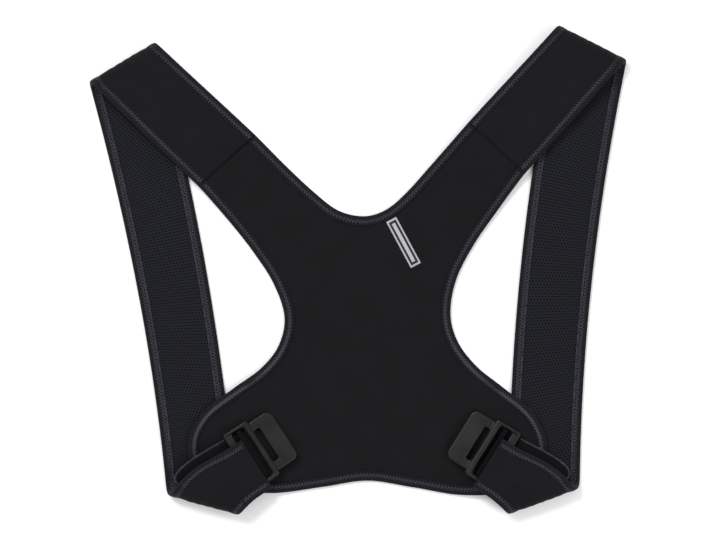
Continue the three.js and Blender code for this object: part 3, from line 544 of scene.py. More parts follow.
class Nodes:
    """A material's node tree, with one call for each node."""

    def __init__(self, name):
        self.material = bpy.data.materials.new(name)
        self.material.use_nodes = True
        self.tree = self.material.node_tree
        self.tree.nodes.clear()
        self.surface = self.node("BsdfPrincipled")
        output = self.node("OutputMaterial")
        self.tree.links.new(self.surface.outputs[0], output.inputs[0])
        self.uv = self.node("UVMap").outputs[0]

    def node(self, kind, **settings):
        node = self.tree.nodes.new(f"ShaderNode{kind}")
        for name, value in settings.items():
            setattr(node, name, value)
        return node

    def fill(self, node, inputs, output=0):
        """Sets inputs, by their number or name, to values or other nodes' outputs."""
        for key, value in inputs.items():
            if isinstance(value, bpy.types.NodeSocket):
                self.tree.links.new(value, node.inputs[key])
            elif value is not None:
                node.inputs[key].default_value = value
        return node.outputs[output]

    def object_place(self):
        return self.node("TexCoord").outputs["Object"]

    def math(self, operation, a, b=0.0, c=0.0):
        return self.fill(self.node("Math", operation=operation), {0: a, 1: b, 2: c})

    def axes(self, vector):
        node = self.node("SeparateXYZ")
        self.fill(node, {0: vector})
        return node.outputs[0], node.outputs[1]

    def noise(self, vector, scale, detail=2.0, rough=0.5):
        inputs = {"Vector": vector, "Scale": scale, "Detail": detail, "Roughness": rough}
        return self.fill(self.node("TexNoise"), inputs, "Fac")

    def span(self, value, low, high, to_low=0.0, to_high=1.0):
        node = self.node("MapRange", interpolation_type="SMOOTHSTEP")
        return self.fill(node, {0: value, 1: low, 2: high, 3: to_low, 4: to_high})

    def blend(self, share, a, b):
        return self.fill(self.node("Mix", data_type="RGBA"), {0: share, 6: a, 7: b}, 2)

    def mottle(self, cloud, dark, pale):
        return self.blend(self.span(cloud, 0.3, 0.7), dark, pale)

    def wave(self, value, period):
        """The cosine of a length in centimetres with a period in centimetres."""
        return self.math("COSINE", self.math("MULTIPLY", value, 2 * math.pi / period))

    def bump(self, height, distance, strength, under=None):
        inputs = {"Strength": strength, "Distance": distance, "Height": height, "Normal": under}
        return self.fill(self.node("Bump"), inputs)

    def finish(self, colour, rough, normal=None, sheen=0.0, gloss=0.08):
        inputs = {"Base Color": colour, "Specular IOR Level": gloss, "Roughness": rough, "Normal": normal,
                  "Sheen Weight": sheen, "Sheen Roughness": 0.5}
        self.fill(self.surface, inputs)
        return self.material


def knit_material(name, colour, pitch, seed, sheen):
    """A fine smooth knit: staggered loops with painted shade between them, uneven dye and a soft nap."""
    n = Nodes(name)
    x, y = n.axes(n.uv)
    column = n.wave(x, pitch)
    row = n.wave(n.math("MULTIPLY_ADD", column, pitch * 0.18, y), pitch * 0.8)
    loops = n.math("MULTIPLY", column, row)
    grain = n.noise(n.uv, 55, 3)
    cloud = n.noise(n.uv, 0.35 + seed * 0.03, 4, 0.6)
    tone = n.mottle(cloud, tinted(colour, 0.8), tinted(colour, 1.25))
    # Painted shade: the gaps between the loops are darkened towards 0.55 of the colour, where the loop
    # relief is low.
    tone = n.blend(n.span(loops, 0.1, 0.9, 0.45, 0.0), tone, tinted(colour, 0.55))
    normal = n.bump(loops, 0.00012, 0.6)
    normal = n.bump(grain, 0.0001, 0.35, normal)
    rough = n.span(cloud, 0.3, 0.7, 0.82, 0.95)
    return n.finish(tone, rough, normal, sheen)


MESH_PITCH = 2.9
MESH_WAVE = 2 * math.pi / (MESH_PITCH * math.sqrt(3) / 2)
CELL_EDGE = 0.5


def hex_field(u, v):
    """The mesh's cells: 3 at a hole's middle, down to -1.5 on the threads between."""
    slanted = v * math.sqrt(3) / 2
    return sum(np.cos(MESH_WAVE * way) for way in (u, u / 2 + slanted, u / 2 - slanted))


def mesh_material():
    """Spacer mesh: threads round small open cells, with painted shade inside the cells."""
    n = Nodes("spacer_mesh_cloth")
    x, y = n.axes(n.uv)
    k = 10 * MESH_WAVE
    half_x = n.math("MULTIPLY", x, k / 2)
    field = n.math("COSINE", n.math("MULTIPLY", x, k))
    for slant in (k * math.sqrt(3) / 2, -k * math.sqrt(3) / 2):
        slanted = n.math("MULTIPLY_ADD", y, slant, half_x)
        field = n.math("ADD", field, n.math("COSINE", slanted))
    hole = n.span(field, CELL_EDGE, 1.7)
    thread = n.noise(n.uv, 40, 3)
    tone = n.mottle(thread, shade(16, 17, 21), shade(29, 30, 36))
    # Painted shade: the open cells are coloured nearly black, standing for the shade inside them.
    tone = n.blend(hole, tone, shade(3, 3, 4))
    normal = n.bump(n.math("MULTIPLY", hole, -1.0), 0.0004, 0.8)
    normal = n.bump(thread, 0.0001, 0.5, normal)
    return n.finish(tone, n.span(hole, 0, 1, 0.75, 0.98), normal, 0.03)


def tape_material():
    """Ribbed binding tape, with its ribs across it, painted shade in the hollows between them and painted
    highlight on their crests.
    """
    n = Nodes("binding_tape_cloth")
    x, y = n.axes(n.uv)
    wobble = n.noise(n.uv, 9, 2)
    rib = n.wave(n.math("MULTIPLY_ADD", wobble, 0.04, x), 0.13)
    yarn = n.wave(y, 0.075)
    grain = n.noise(n.uv, 70, 2)
    lift = n.math("MULTIPLY_ADD", yarn, 0.3, rib)
    # Painted shade and highlight: the tape is darker in the rib hollows and paler on the rib crests.
    tone = n.blend(n.span(lift, -0.9, 1.0), shade(8, 8, 10), shade(23, 23, 28))
    tone = n.blend(n.span(grain, 0.35, 0.7, 0.0, 0.35), tone, shade(36, 36, 43))
    normal = n.bump(lift, 0.00022, 0.7)
    normal = n.bump(grain, 0.0001, 0.4, normal)
    return n.finish(tone, 0.78, normal, 0.04)


def thread_material():
    """Stitching thread, paler than the tape."""
    n = Nodes("stitch_thread")
    x, _ = n.axes(n.uv)
    twist = n.wave(x, 0.05)
    # Painted highlight and shade along the twist: the thread is paler on its crests and darker in its
    # grooves.
    tone = n.blend(n.span(twist, -1, 1), shade(48, 48, 55), shade(96, 96, 106))
    return n.finish(tone, 0.6, n.bump(twist, 0.00008, 0.6))


def bead_material():
    """The smooth corded border of the tape, paler than its ribs."""
    n = Nodes("bead_cord")
    x, _ = n.axes(n.uv)
    twist = n.wave(x, 0.11)
    cloud = n.noise(n.uv, 2, 2)
    tone = n.mottle(cloud, shade(33, 34, 41), shade(52, 53, 62))
    tone = n.blend(n.span(twist, -1, 1, 0, 0.4), tone, shade(24, 24, 30))
    return n.finish(tone, 0.65, n.bump(twist, 0.0001, 0.6), 0.1)


def plastic_material():
    """Black moulded plastic with a fine spark texture."""
    n = Nodes("buckle_moulding")
    place = n.object_place()
    fine = n.noise(place, 1800, 2)
    cloud = n.noise(place, 60, 3)
    tone = n.mottle(cloud, shade(11, 11, 10), shade(18, 18, 17))
    rough = n.span(cloud, 0.3, 0.7, 0.34, 0.46)
    return n.finish(tone, rough, n.bump(fine, 0.00006, 0.35), gloss=0.22)


def label_material():
    """A woven label: dark satin with a plain pale border and one plain pale band along it."""
    n = Nodes("label_weave")
    x, y = n.axes(n.uv)
    across = n.math("ABSOLUTE", y)
    along = n.math("ABSOLUTE", x)
    warp = n.wave(y, 0.035)
    weft = n.wave(x, 0.05)
    weave = n.math("MULTIPLY", warp, weft)
    band = n.math("MULTIPLY", n.span(across, 0.16, 0.13), n.span(along, 1.84, 1.8))
    border = n.math("MAXIMUM", n.span(across, 0.32, 0.35), n.span(along, 2.02, 2.05))
    # Painted shade and highlight: both the dark and the pale parts are darker in the weave's hollows and
    # paler on its crests.
    dark = n.blend(n.span(weave, -1, 1), shade(26, 26, 29), shade(48, 48, 53))
    pale = n.blend(n.span(weave, -1, 1), shade(128, 128, 132), shade(196, 196, 200))
    tone = n.blend(n.math("MAXIMUM", band, border), dark, pale)
    return n.finish(tone, 0.62, n.bump(weave, 0.0001, 0.6), 0.05)


PANEL_CLOTH = knit_material("panel_knit", shade(21, 21, 23), 0.09, 1, 0.015)
STRAP_CLOTH = knit_material("strap_knit", shade(21, 21, 24), 0.11, 2, 0.02)
TAIL_CLOTH = knit_material("tail_knit", shade(10, 10, 14), 0.13, 3, 0.01)
MESH_CLOTH = mesh_material()
TAPE_CLOTH = tape_material()
THREAD = thread_material()
BEAD = bead_material()
PLASTIC = plastic_material()
LABEL_CLOTH = label_material()


# Straps

SEAM_CLOSE = GAP - 0.02
SEAM_SOFTNESS = 2.8
SEAM_DRAW = 0.9
PUCKER_PERIOD = 9
PUCKER_LENGTH = 16
PUCKER_HEIGHT = 0.22
PUCKER_SWAY = 2.1
PUCKER_SWAY_LENGTH = 11
FOLD_STEP_SHARE = 0.45
FACE_TURN = 12

CLOTH_STEP = 3.0 / FINE
CLOTH_COLUMNS = 24 * FINE
CLOTH_SINK = 0.25
CLOTH_CROWN = 0.55
CLOTH_CROWN_BEHIND = 0.25
CLOTH_CROWN_REACH = 9
CLOTH_RIPPLE = 0.3
CLOTH_SEED = 3

MESH_STEP = 1.6 / FINE
MESH_COLUMNS = 28 * FINE
MESH_SINK = 0.35
MESH_CROWN = 0.6
MESH_CROWN_REACH = 8
MESH_RIPPLE = 0.25
MESH_SEED = 7
MESH_DRAW = 0.6
CELL_DEPTH = 0.45
CELL_RIM = 1.5

TAPE_STEP = 2.0 / FINE
TAPE_DRAW_SHARE = 0.25


def strap_rows(strap, step):
    """Rows along a strap, closer together in its folds."""
    rows = [-SEAM_CLOSE]
    for row in strap.rows:
        share = FOLD_STEP_SHARE if row["name"] in ("shoulder", "bottom") else 1
        count = max(2, round(row["length"] / (step * share)))
        rows += [row["start"] + row["length"] * (i + 1) / count for i in range(count)]
    rows[-1] = strap.end
    return np.array(rows)


def fold_middles(strap):
    """The way along a strap to the middle of its shoulder fold and of its bottom fold."""
    starts = strap.starts
    return (starts["shoulder"] + starts["back"]) / 2, (starts["bottom"] + starts["front"]) / 2


def on_top(strap, u):
    """1 where the strap's outer face looks up, and 0 along its back run."""
    shoulder, foot = fold_middles(strap)
    return np.maximum(smooth((shoulder - u) / FACE_TURN + 0.5), smooth((u - foot) / FACE_TURN + 0.5))


def near_seam(u):
    """1 at a seam, dying away from it, to draw the cloth down into it."""
    return np.exp(-np.maximum(0, u) / SEAM_SOFTNESS)


def puckers(strap, u, v):
    """Short soft creases that run out of a strap's two folds."""
    total = 0
    for fold in fold_middles(strap):
        reach = np.exp(-(((u + v * strap.slant(u) - fold) / PUCKER_LENGTH) ** 2))
        sway = PUCKER_SWAY * np.sin(v / PUCKER_SWAY_LENGTH)
        total = total + reach * np.sin(v * 2 * math.pi / PUCKER_PERIOD + sway + strap.mirror)
    return total * PUCKER_HEIGHT


def across_strap(strap, rows, inset, columns):
    """A grid of u and v inside both edges, and how far each place is in from the nearer one."""
    low = -(strap.reach(rows, OUTER) - inset)[:, None]
    high = (strap.reach(rows, INNER) - inset)[:, None]
    v = low + (high - low) * np.linspace(0, 1, columns)
    return np.broadcast_to(rows[:, None], v.shape), v, np.minimum(v - low, high - v)


def strap_body(strap):
    """The strap's outer cloth and padding, from tape to tape."""
    grip = TAPE_WALL + GAP
    u, v, edge = across_strap(strap, strap_rows(strap, CLOTH_STEP), grip, CLOTH_COLUMNS)
    rise = smooth((edge + grip - TAPE_WIDTH + 0.2) / 0.7)
    crown = smooth((edge + grip - TAPE_WIDTH) / CLOTH_CROWN_REACH)
    up = on_top(strap, u)
    seed = CLOTH_SEED + (strap.mirror > 0)
    soft = (CLOTH_RIPPLE * ripple(u, v, seed) + puckers(strap, u, v)) * crown
    outer = EDGE_HALF + (STRAP_HALF - CLOTH_SINK - EDGE_HALF) * rise + up * (CLOTH_CROWN * crown + soft)
    outer = outer + (1 - up) * CLOTH_CROWN_BEHIND * crown - SEAM_DRAW * near_seam(u)
    inner = -EDGE_HALF + (EDGE_HALF - STRAP_HALF + LINING_THICKNESS + GAP) * rise
    rings = np.concatenate([strap.offset(u, v, outer), strap.offset(u, v, inner)[:, ::-1]], 1)
    around = np.concatenate([v[0], 2 * v[0, -1] - v[0, ::-1], [2 * v[0, -1] - v[0, 0] + 2]]) / 10
    obj = sweep(f"{strap.name}_strap_cloth", rings, u[:, 0] / 10, around, STRAP_CLOTH)
    return stand_in(obj, f"{strap.name}_strap")


def lining_body(strap):
    """The mesh lining, pressed in where its cells are."""
    u, v, edge = across_strap(strap, strap_rows(strap, MESH_STEP), TAPE_WIDTH + 0.1, MESH_COLUMNS)
    crown = smooth(edge / MESH_CROWN_REACH)
    soft = MESH_RIPPLE * ripple(u, v, MESH_SEED + (strap.mirror > 0)) * crown
    cell = smooth((hex_field(u, v) - CELL_EDGE) / CELL_RIM) * smooth(edge / CELL_RIM)
    outer = -STRAP_HALF + MESH_SINK - (1 - on_top(strap, u)) * (MESH_CROWN * crown + soft)
    outer = outer + CELL_DEPTH * cell + MESH_DRAW * near_seam(u)
    few = [0, MESH_COLUMNS // 3, 2 * MESH_COLUMNS // 3, -1]
    inside = strap.offset(u[:, few], v[:, few], -STRAP_HALF + LINING_THICKNESS)
    rings = np.concatenate([inside, strap.offset(u, v, outer)[:, ::-1]], 1)
    around = np.concatenate([v[0, few] - 80, v[0, ::-1], [v[0, 0] - 2]]) / 10
    obj = sweep(f"{strap.name}_lining_mesh", rings, u[:, 0] / 10, around, MESH_CLOTH)
    return stand_in(obj, f"{strap.name}_lining")


def tape_ring(half, puff_top, puff_low):
    """Points (inset, out) round a folded tape: a soft back, two puffed legs and a stitched border."""
    legs = []
    for sign, puff in ((1, puff_top), (-1, puff_low)):
        leg = [(TAPE_WIDTH, half - TAPE_WALL + 0.1), (TAPE_WIDTH + 0.05, half - 0.35),
               (TAPE_WIDTH - 0.3, half - 0.05), (7.2, half + 0.05 * puff), (6.7, half - 0.22 * puff),
               (6.2, half + 0.05 * puff), (5.0, half + 0.2 * puff), (3.4, half + 0.25 * puff),
               (2.0, half + 0.1 * puff), (1.1, half - 0.15)]
        legs.append([(inset, sign * out) for inset, out in leg])
    turn = [(0.55, half * 0.8), (0.18, half * 0.55), (0.0, half * 0.2)]
    turn += [(inset, -out) for inset, out in turn[::-1]]
    inside = [(TAPE_WALL, TAPE_WALL - half), (TAPE_WALL, half - TAPE_WALL)]
    return np.array(legs[0] + turn + legs[1][::-1] + inside)


def distances(line):
    """The way along a line of points to each of them."""
    return np.concatenate([[0], np.cumsum(np.linalg.norm(np.diff(line, axis=0), axis=1))])


def ring_lengths(ring):
    return distances(np.concatenate([ring, ring[:1]])) / 10


def strap_tape(strap, edge, label):
    """The tape on one edge of a strap, puffed on the side that looks up."""
    rows = strap_rows(strap, TAPE_STEP)
    full = tape_ring(STRAP_HALF, 1, 1)
    flat = tape_ring(STRAP_HALF, 0, 0)
    up = on_top(strap, rows)[:, None]
    out = flat[:, 1] + (full[:, 1] - flat[:, 1]) * np.where(full[:, 1] > 0, up, 1 - up)
    v = edge * (strap.reach(rows, edge)[:, None] - full[:, 0])
    u = np.broadcast_to(rows[:, None], v.shape)
    rings = strap.offset(u, v, out * (1 - TAPE_DRAW_SHARE * near_seam(u)))
    obj = sweep(f"{strap.name}_{label}_binding_tape", rings, rows / 10, ring_lengths(full), TAPE_CLOTH)
    return stand_in(obj, f"{strap.name}_{label}_binding")


# Panel

PANEL_SPAN = 8 * FINE
CORNER_FOOT = (CORNER_FOOT_ROW + 1) * PANEL_SPAN
HEM_MIDDLE = (len(LOWER_OUTLINE) + 1) * PANEL_SPAN
NECK_MIDDLE = (len(NECK_OUTLINE) + 1) * PANEL_SPAN
NECK_FROM = CORNER_FOOT - (WAIST_ROW + 1) * PANEL_SPAN
PANEL_COLUMNS = HEM_MIDDLE - CORNER_FOOT
RING_INSETS = (TAPE_WALL + GAP, 4.5, TAPE_WIDTH - 0.4, TAPE_WIDTH + 0.5, TAPE_WIDTH + 2.5)
PANEL_TAPE_SPAN = 26 * FINE
PANEL_CROWN = 0.28
PANEL_CROWN_REACH = 10
PANEL_RIPPLE = 0.22
PANEL_SEED = 11
PRESSED_DEPTH = 0.2
PRESSED_INSET = TAPE_WIDTH + 0.6
PRESSED_REACH = 2.2
WELD_REACH = 0.00002


def panel_face(spot, inset, seam):
    """How far the panel's outer face is from its middle, pressed in beside the tape and the seam."""
    crown = smooth((inset - TAPE_WIDTH) / PANEL_CROWN_REACH)
    pressed = 1 - smooth(np.abs(inset - PRESSED_INSET) / PRESSED_REACH)
    wave = PANEL_RIPPLE * ripple(spot[..., 0], spot[..., 1], PANEL_SEED)
    return (PANEL_THICKNESS / 2 + (PANEL_CROWN + wave) * crown - PRESSED_DEPTH * pressed
            - SEAM_DRAW * near_seam(seam))


def edge_distance(grid, lines):
    """How far each place of a grid is from the nearest point of the panel's outlines."""
    places = grid.reshape(-1, 2)
    best = np.full(len(places), np.inf)
    for line, _ in lines.values():
        for chunk in np.array_split(line, 12):
            best = np.minimum(best, np.linalg.norm(places[:, None] - chunk[None], axis=-1).min(1))
    return best.reshape(grid.shape[:-1])


def panel_grid(lower, neck):
    """Places inside one half's innermost ring, in rows from the hem up to the seam."""
    grid = np.empty((CORNER_FOOT + 1, PANEL_COLUMNS + 1, 2))
    share = np.arange(PANEL_COLUMNS + 1)[:, None] / PANEL_COLUMNS
    straight = lower[HEM_MIDDLE] + (lower[CORNER_FOOT] - lower[HEM_MIDDLE]) * share
    bow = lower[HEM_MIDDLE - np.arange(PANEL_COLUMNS + 1)] - straight
    for r in range(CORNER_FOOT + 1):
        up_centre = min(1, r / NECK_FROM)
        if r > NECK_FROM:
            inner = neck[NECK_MIDDLE - (r - NECK_FROM)]
        else:
            inner = mix(lower[HEM_MIDDLE], neck[NECK_MIDDLE], up_centre)
        grid[r] = inner + (lower[CORNER_FOOT - r] - inner) * share + bow * (1 - up_centre) ** 2
    return grid


def panel_cloth():
    """The panel: in each half a grid, rings of faces out to the edge, and walls between its faces."""
    lines = panel_outlines(PANEL_SPAN)
    vertices, faces = [], []

    def add(spot, inset):
        """Adds each place's point on the outer face and the one beneath it."""
        seam = seam_distance(side, mirror * spot[..., 0], spot[..., 1])
        top = panel_point(spot, panel_face(spot, inset, seam))
        low = panel_point(spot, -PANEL_THICKNESS / 2)
        start = len(vertices)
        for pair in zip(top.reshape(-1, 3), low.reshape(-1, 3)):
            vertices.extend(pair)
        return start

    def at(r, c):
        return base + 2 * (r * (PANEL_COLUMNS + 1) + c)

    def quad(a, b, c, d):
        faces.append((a, b, c, d) if mirror > 0 else (a, d, c, b))

    def both(a, b, c, d):
        quad(a, b, c, d)
        quad(a + 1, d + 1, c + 1, b + 1)

    for side in SIDES:
        mirror = side["mirror"]
        rings = {}
        for name, line in lines.items():
            place, inward = (part[::-mirror] for part in line)
            rings[name] = [place + inward * inset for inset in RING_INSETS]
        grid = panel_grid(rings["lower"][-1], rings["neck"][-1])
        base = add(grid, edge_distance(grid, lines))
        for r in range(CORNER_FOOT):
            for c in range(PANEL_COLUMNS):
                both(at(r, c), at(r, c + 1), at(r + 1, c + 1), at(r + 1, c))
        hem = [(0, c) for c in range(PANEL_COLUMNS + 1)]
        rise = [(r, PANEL_COLUMNS) for r in range(1, CORNER_FOOT + 1)]
        fall = [(r, 0) for r in range(CORNER_FOOT, NECK_FROM - 1, -1)]
        lower_index = [HEM_MIDDLE - c for _, c in hem] + [CORNER_FOOT - r for r, _ in rise]
        neck_index = [NECK_MIDDLE - (r - NECK_FROM) for r, _ in fall]
        ends = []
        for name, path, index in (("lower", hem + rise, lower_index), ("neck", fall, neck_index)):
            inside = [at(r, c) for r, c in path]
            chain = [inside]
            for inset, ring in list(zip(RING_INSETS, rings[name]))[-2::-1]:
                start = add(ring[index], inset)
                outside = [start + 2 * n for n in range(len(index))]
                for n in range(len(index) - 1):
                    both(outside[n], outside[n + 1], inside[n + 1], inside[n])
                inside = outside
                chain.append(outside)
            for n in range(len(inside) - 1):
                quad(inside[n], inside[n] + 1, inside[n + 1] + 1, inside[n + 1])
            ends.append([line[-1] if name == "lower" else line[0] for line in chain])
        top_row = [at(CORNER_FOOT, c) for c in range(PANEL_COLUMNS, -1, -1)]
        seam_line = ends[0][:0:-1] + top_row + ends[1][1:]
        for a, b in zip(seam_line, seam_line[1:]):
            quad(a, a + 1, b + 1, b)
    vertices = np.array(vertices)
    uvs = [vertices[k, :2] / 10 for face in faces for k in face]
    obj = mesh_object("back_panel_cloth", vertices, faces, uvs, PANEL_CLOTH)
    weld = obj.modifiers.new("weld", "WELD")
    weld.merge_threshold = WELD_REACH
    apply_modifiers(obj)
    face_out(obj)
    return stand_in(obj, "back_panel")


def apply_modifiers(obj):
    graph = bpy.context.evaluated_depsgraph_get()
    graph.update()
    made = bpy.data.meshes.new_from_object(obj.evaluated_get(graph))
    old = obj.data
    obj.modifiers.clear()
    obj.data = made
    bpy.data.meshes.remove(old)


def panel_tape(name, node):
    """The tape along one of the panel's outlines, puffed on its outer side."""
    place, inward = panel_outlines(PANEL_TAPE_SPAN)[name]
    ring = tape_ring(PANEL_TAPE_HALF, 1, 0)
    rings = np.stack([panel_point(place + inward * inset, out) for inset, out in ring], 1)
    obj = sweep(f"{node}_tape", rings, distances(place) / 10, ring_lengths(ring), TAPE_CLOTH)
    return stand_in(obj, node)


# Stitches and beads

STITCH_STEP = 2.8
STITCH_INSETS = (2.4, 6.6)
STITCH_LIFT = 0.06
STITCH_SPAN = 24
SEAM_MARGIN = 0.3
END_MARGIN = 1.5
THREAD_RADIUS = 0.24
THREAD_SHARES = (0.0, 0.14, 0.5, 0.86, 1.0)
THREAD_WIDTHS = (0.35, 0.9, 1.0, 0.9, 0.35)
THREAD_LIFTS = (-0.75, 0.1, 0.35, 0.1, -0.75)
THREAD_TRIM = 0.06
THREAD_SIDES = 4
THREAD_UV_LENGTH = 0.35
THREAD_UV_SIDE = 1 / 60
BEAD_INSET = 7.3
BEAD_HALF_WIDTH = 0.85
BEAD_HALF_HEIGHT = 0.45
BEAD_LIFT = 0.1
BEAD_SIDES = 8
BEAD_UV_SIDE = BEAD_HALF_WIDTH / 12
BEAD_TAPER_ROWS = 3
BEAD_TIP = 0.25


def along_line(line, at):
    """Places at given shares of the way along a line of points."""
    run = distances(line)
    return np.stack([np.interp(at * run[-1], run, line[:, k]) for k in range(3)], -1)


def zigzag(name, near, far, normals):
    """A zigzag of short raised threads between two lines of points."""
    count = 2 * max(1, int(distances(near)[-1] // STITCH_STEP))
    at = (np.arange(count + 1) + 0.5) / (count + 1)
    even = np.arange(count + 1)[:, None] % 2 == 0
    ends = np.where(even, along_line(near, at), along_line(far, at))
    up = unit(along_line(normals, at))
    thread = tube(len(THREAD_SHARES), THREAD_SIDES)
    vertices, faces, uvs = [], [], []
    for n in range(count):
        way = ends[n + 1] - ends[n]
        across = unit(np.cross(up[n], way))
        first = len(vertices)
        for share, width, lift in zip(THREAD_SHARES, THREAD_WIDTHS, THREAD_LIFTS):
            middle = ends[n] + way * mix(THREAD_TRIM, 1 - THREAD_TRIM, share) + up[n] * lift * THREAD_RADIUS
            for s in range(THREAD_SIDES):
                angle = 2 * math.pi * s / THREAD_SIDES
                spread = across * math.cos(angle) + up[n] * math.sin(angle)
                vertices.append(middle + spread * THREAD_RADIUS * width)
        for face in thread:
            faces.append([first + i * THREAD_SIDES + k % THREAD_SIDES for i, k in face])
            uvs += [(THREAD_SHARES[i] * THREAD_UV_LENGTH, k * THREAD_UV_SIDE) for i, k in face]
    obj = mesh_object(name, np.array(vertices), faces, uvs, THREAD)
    face_out(obj)
    return obj


def strap_stitches(strap, edge, label):
    """Zigzags on a tape's upper side: the outer side in front, and the lining's side behind."""
    shoulder, foot = fold_middles(strap)
    stretches = (("top", 1, SEAM_MARGIN, shoulder), ("back", -1, shoulder, foot),
                 ("front", 1, foot, strap.end - END_MARGIN))
    made = []
    for name, face, start, end in stretches:
        u = np.linspace(start, end, max(8, int((end - start) / 2)))
        near, far = (edge * (strap.reach(u, edge) - inset) for inset in STITCH_INSETS)
        lines = [strap.offset(u, v, face * (STRAP_HALF + STITCH_LIFT)) for v in (near, far)]
        normals = strap.normal(u, far) * face * strap.flip
        made.append(zigzag(f"{strap.name}_{label}_{name}_stitches", *lines, normals))
    return made


def panel_stitches(name, node):
    place, inward = (part[1:-1] for part in panel_outlines(STITCH_SPAN)[name])
    near, far = (place + inward * inset for inset in STITCH_INSETS)
    lines = [panel_point(spot, PANEL_TAPE_HALF + STITCH_LIFT) for spot in (near, far)]
    return zigzag(f"{node}_stitches", *lines, unit(panel_point(far, 1.0) - panel_point(far, 0.0)))


def bead(strap, name, u, v, out, face, half_height):
    """A smooth corded border along a strap, half sunk in what it lies on."""
    line = strap.offset(u, v, out)
    normals = strap.normal(u, v) * face * strap.flip
    across = unit(np.cross(normals, unit(np.gradient(line, axis=0))))
    angles = 2 * math.pi * np.arange(BEAD_SIDES)[:, None] / BEAD_SIDES
    rows = np.arange(len(line))
    taper = np.clip(np.minimum(rows, rows[::-1]) / BEAD_TAPER_ROWS, BEAD_TIP, 1)[:, None, None]
    rings = (line[:, None] + across[:, None] * np.cos(angles) * BEAD_HALF_WIDTH * taper
             + normals[:, None] * np.sin(angles) * half_height * taper)
    around = np.arange(BEAD_SIDES + 1) * BEAD_UV_SIDE
    obj = sweep(f"{strap.name}_{name}_bead", rings, distances(line) / 10, around, BEAD)
    return obj


def tape_bead(strap, edge, label):
    """The corded inner border of a tape along the back run."""
    u = np.linspace(fold_middles(strap)[0], strap.starts["front"], 240 * FINE)
    v = edge * (strap.reach(u, edge) - BEAD_INSET)
    return bead(strap, label, u, v, -STRAP_HALF - BEAD_LIFT, -1, BEAD_HALF_HEIGHT)


# Thin ends of the straps, measured back from the strap's end

TAIL_REACH = 45.5
TAIL_CORNER = 11
TAIL_COLUMNS = 24
TAIL_BEND_ROWS = 16
TAIL_FLAT_ROWS = 60
TAIL_EDGE_SHARE = 0.55
TAIL_BEAD_SHIFT = 0.15
TAIL_BEAD_HALF_HEIGHT = TAIL_THICKNESS * 0.52
PAST_BAR = FAR_BAR + GAP + STRAP_OVERHANG


def tail_depth(back):
    """The tail's middle under the strap's middle."""
    under_bar = STRAP_HALF + GAP + BUCKLE_THICKNESS + GAP + TAIL_THICKNESS / 2
    under_strap = STRAP_HALF + GAP + TAIL_THICKNESS / 2 + TAIL_SLACK
    return mix(under_bar, under_strap, smooth((back - PAST_BAR) / TAIL_RISE))


def tail_outer_edge(strap, back):
    """The tail's outer edge across the strap, and how far its rounded corner draws it in."""
    rim = BUCKLE_SHIFT + TAIL_WIDTH / 2 - strap.reach(strap.end, OUTER)
    into = np.maximum(0, TAIL_CORNER - (TAIL_REACH - back))
    pull = TAIL_CORNER - np.sqrt(np.maximum(0, TAIL_CORNER**2 - into**2))
    return -strap.reach(strap.end - back, OUTER) - rim + pull, pull


def tail_bead(strap):
    """The corded border round the tail's outer edge and its rounded end."""
    straight = np.linspace(PAST_BAR, TAIL_REACH - TAIL_CORNER, 60 * FINE)
    corner = TAIL_REACH - TAIL_CORNER * (1 - np.sin(np.linspace(0, math.pi / 2, 14 * FINE)[1:]))
    back = np.concatenate([straight, corner])
    v, _ = tail_outer_edge(strap, back)
    inward = np.linspace(0, TAIL_WIDTH / 3, 24 * FINE)[1:]
    back = np.concatenate([back, np.full(len(inward), TAIL_REACH)])
    v = np.concatenate([v, v[-1] + inward])
    u = strap.end - back
    out = TAIL_BEAD_SHIFT - tail_depth(back)
    return bead(strap, "tail", u, v, out, 1, TAIL_BEAD_HALF_HEIGHT)


def tail_band(strap):
    """The strap's thin end: down into the slot, round the far bar and back beneath the strap."""
    half = TAIL_THICKNESS / 2
    bend = BUCKLE_THICKNESS / 2 + GAP + half
    out = strap.normal(strap.end, 0.0)
    ahead = unit(strap.raw(strap.end, 0.0) - strap.raw(strap.end - 0.1, 0.0))
    share = np.linspace(-1, 1, TAIL_COLUMNS)
    edge = (1 - np.abs(share)) * TAIL_WIDTH / 2
    thick = half * mix(TAIL_EDGE_SHARE, 1, np.sqrt(np.clip(edge / 0.8, 0, 1)))[:, None]
    start = strap.raw(strap.end, OUTER * BUCKLE_SHIFT + share * TAIL_WIDTH / 2)
    middle = start - out * (STRAP_HALF + GAP + BUCKLE_THICKNESS / 2) + ahead * GAP
    tops, lows, lengths = [], [], []
    for angle in np.linspace(0, math.pi, TAIL_BEND_ROWS + 1):
        way = out * math.cos(angle) + ahead * math.sin(angle)
        tops.append(middle + way * (bend + thick))
        lows.append(middle + way * (bend - thick))
        lengths.append(bend * angle)
    for back in np.linspace(PAST_BAR, TAIL_REACH, TAIL_FLAT_ROWS + 1):
        u = strap.end - back
        outer_edge, pull = tail_outer_edge(strap, back)
        v = outer_edge + (share + 1) * (TAIL_WIDTH - 2 * pull) / 2
        place, normal = strap.raw(u, v), strap.normal(u, v)
        tops.append(place - normal * (tail_depth(back) + thick))
        lows.append(place - normal * (tail_depth(back) - thick))
        lengths.append(math.pi * bend + back)
    rings = np.concatenate([np.array(tops), np.array(lows)[:, ::-1]], 1) * strap.flip
    v = share * TAIL_WIDTH / 20
    around = np.concatenate([v, 2 * v[-1] - v[::-1], [6]])
    obj = sweep(f"{strap.name}_tail_cloth", rings, np.array(lengths) / 10, around, TAIL_CLOTH)
    return stand_in(obj, f"{strap.name}_tail")


# Label and buckles

LABEL_ROWS = 45
LABEL_COLUMNS = 13
LABEL_EDGE_SHARE = 0.55
LABEL_EDGE_REACH = 1.2
LABEL_STITCH = {"inset": 0.9, "width": 0.3, "depth": 0.25}
VOXEL = 0.00055 if FINE > 1 else 0.0008


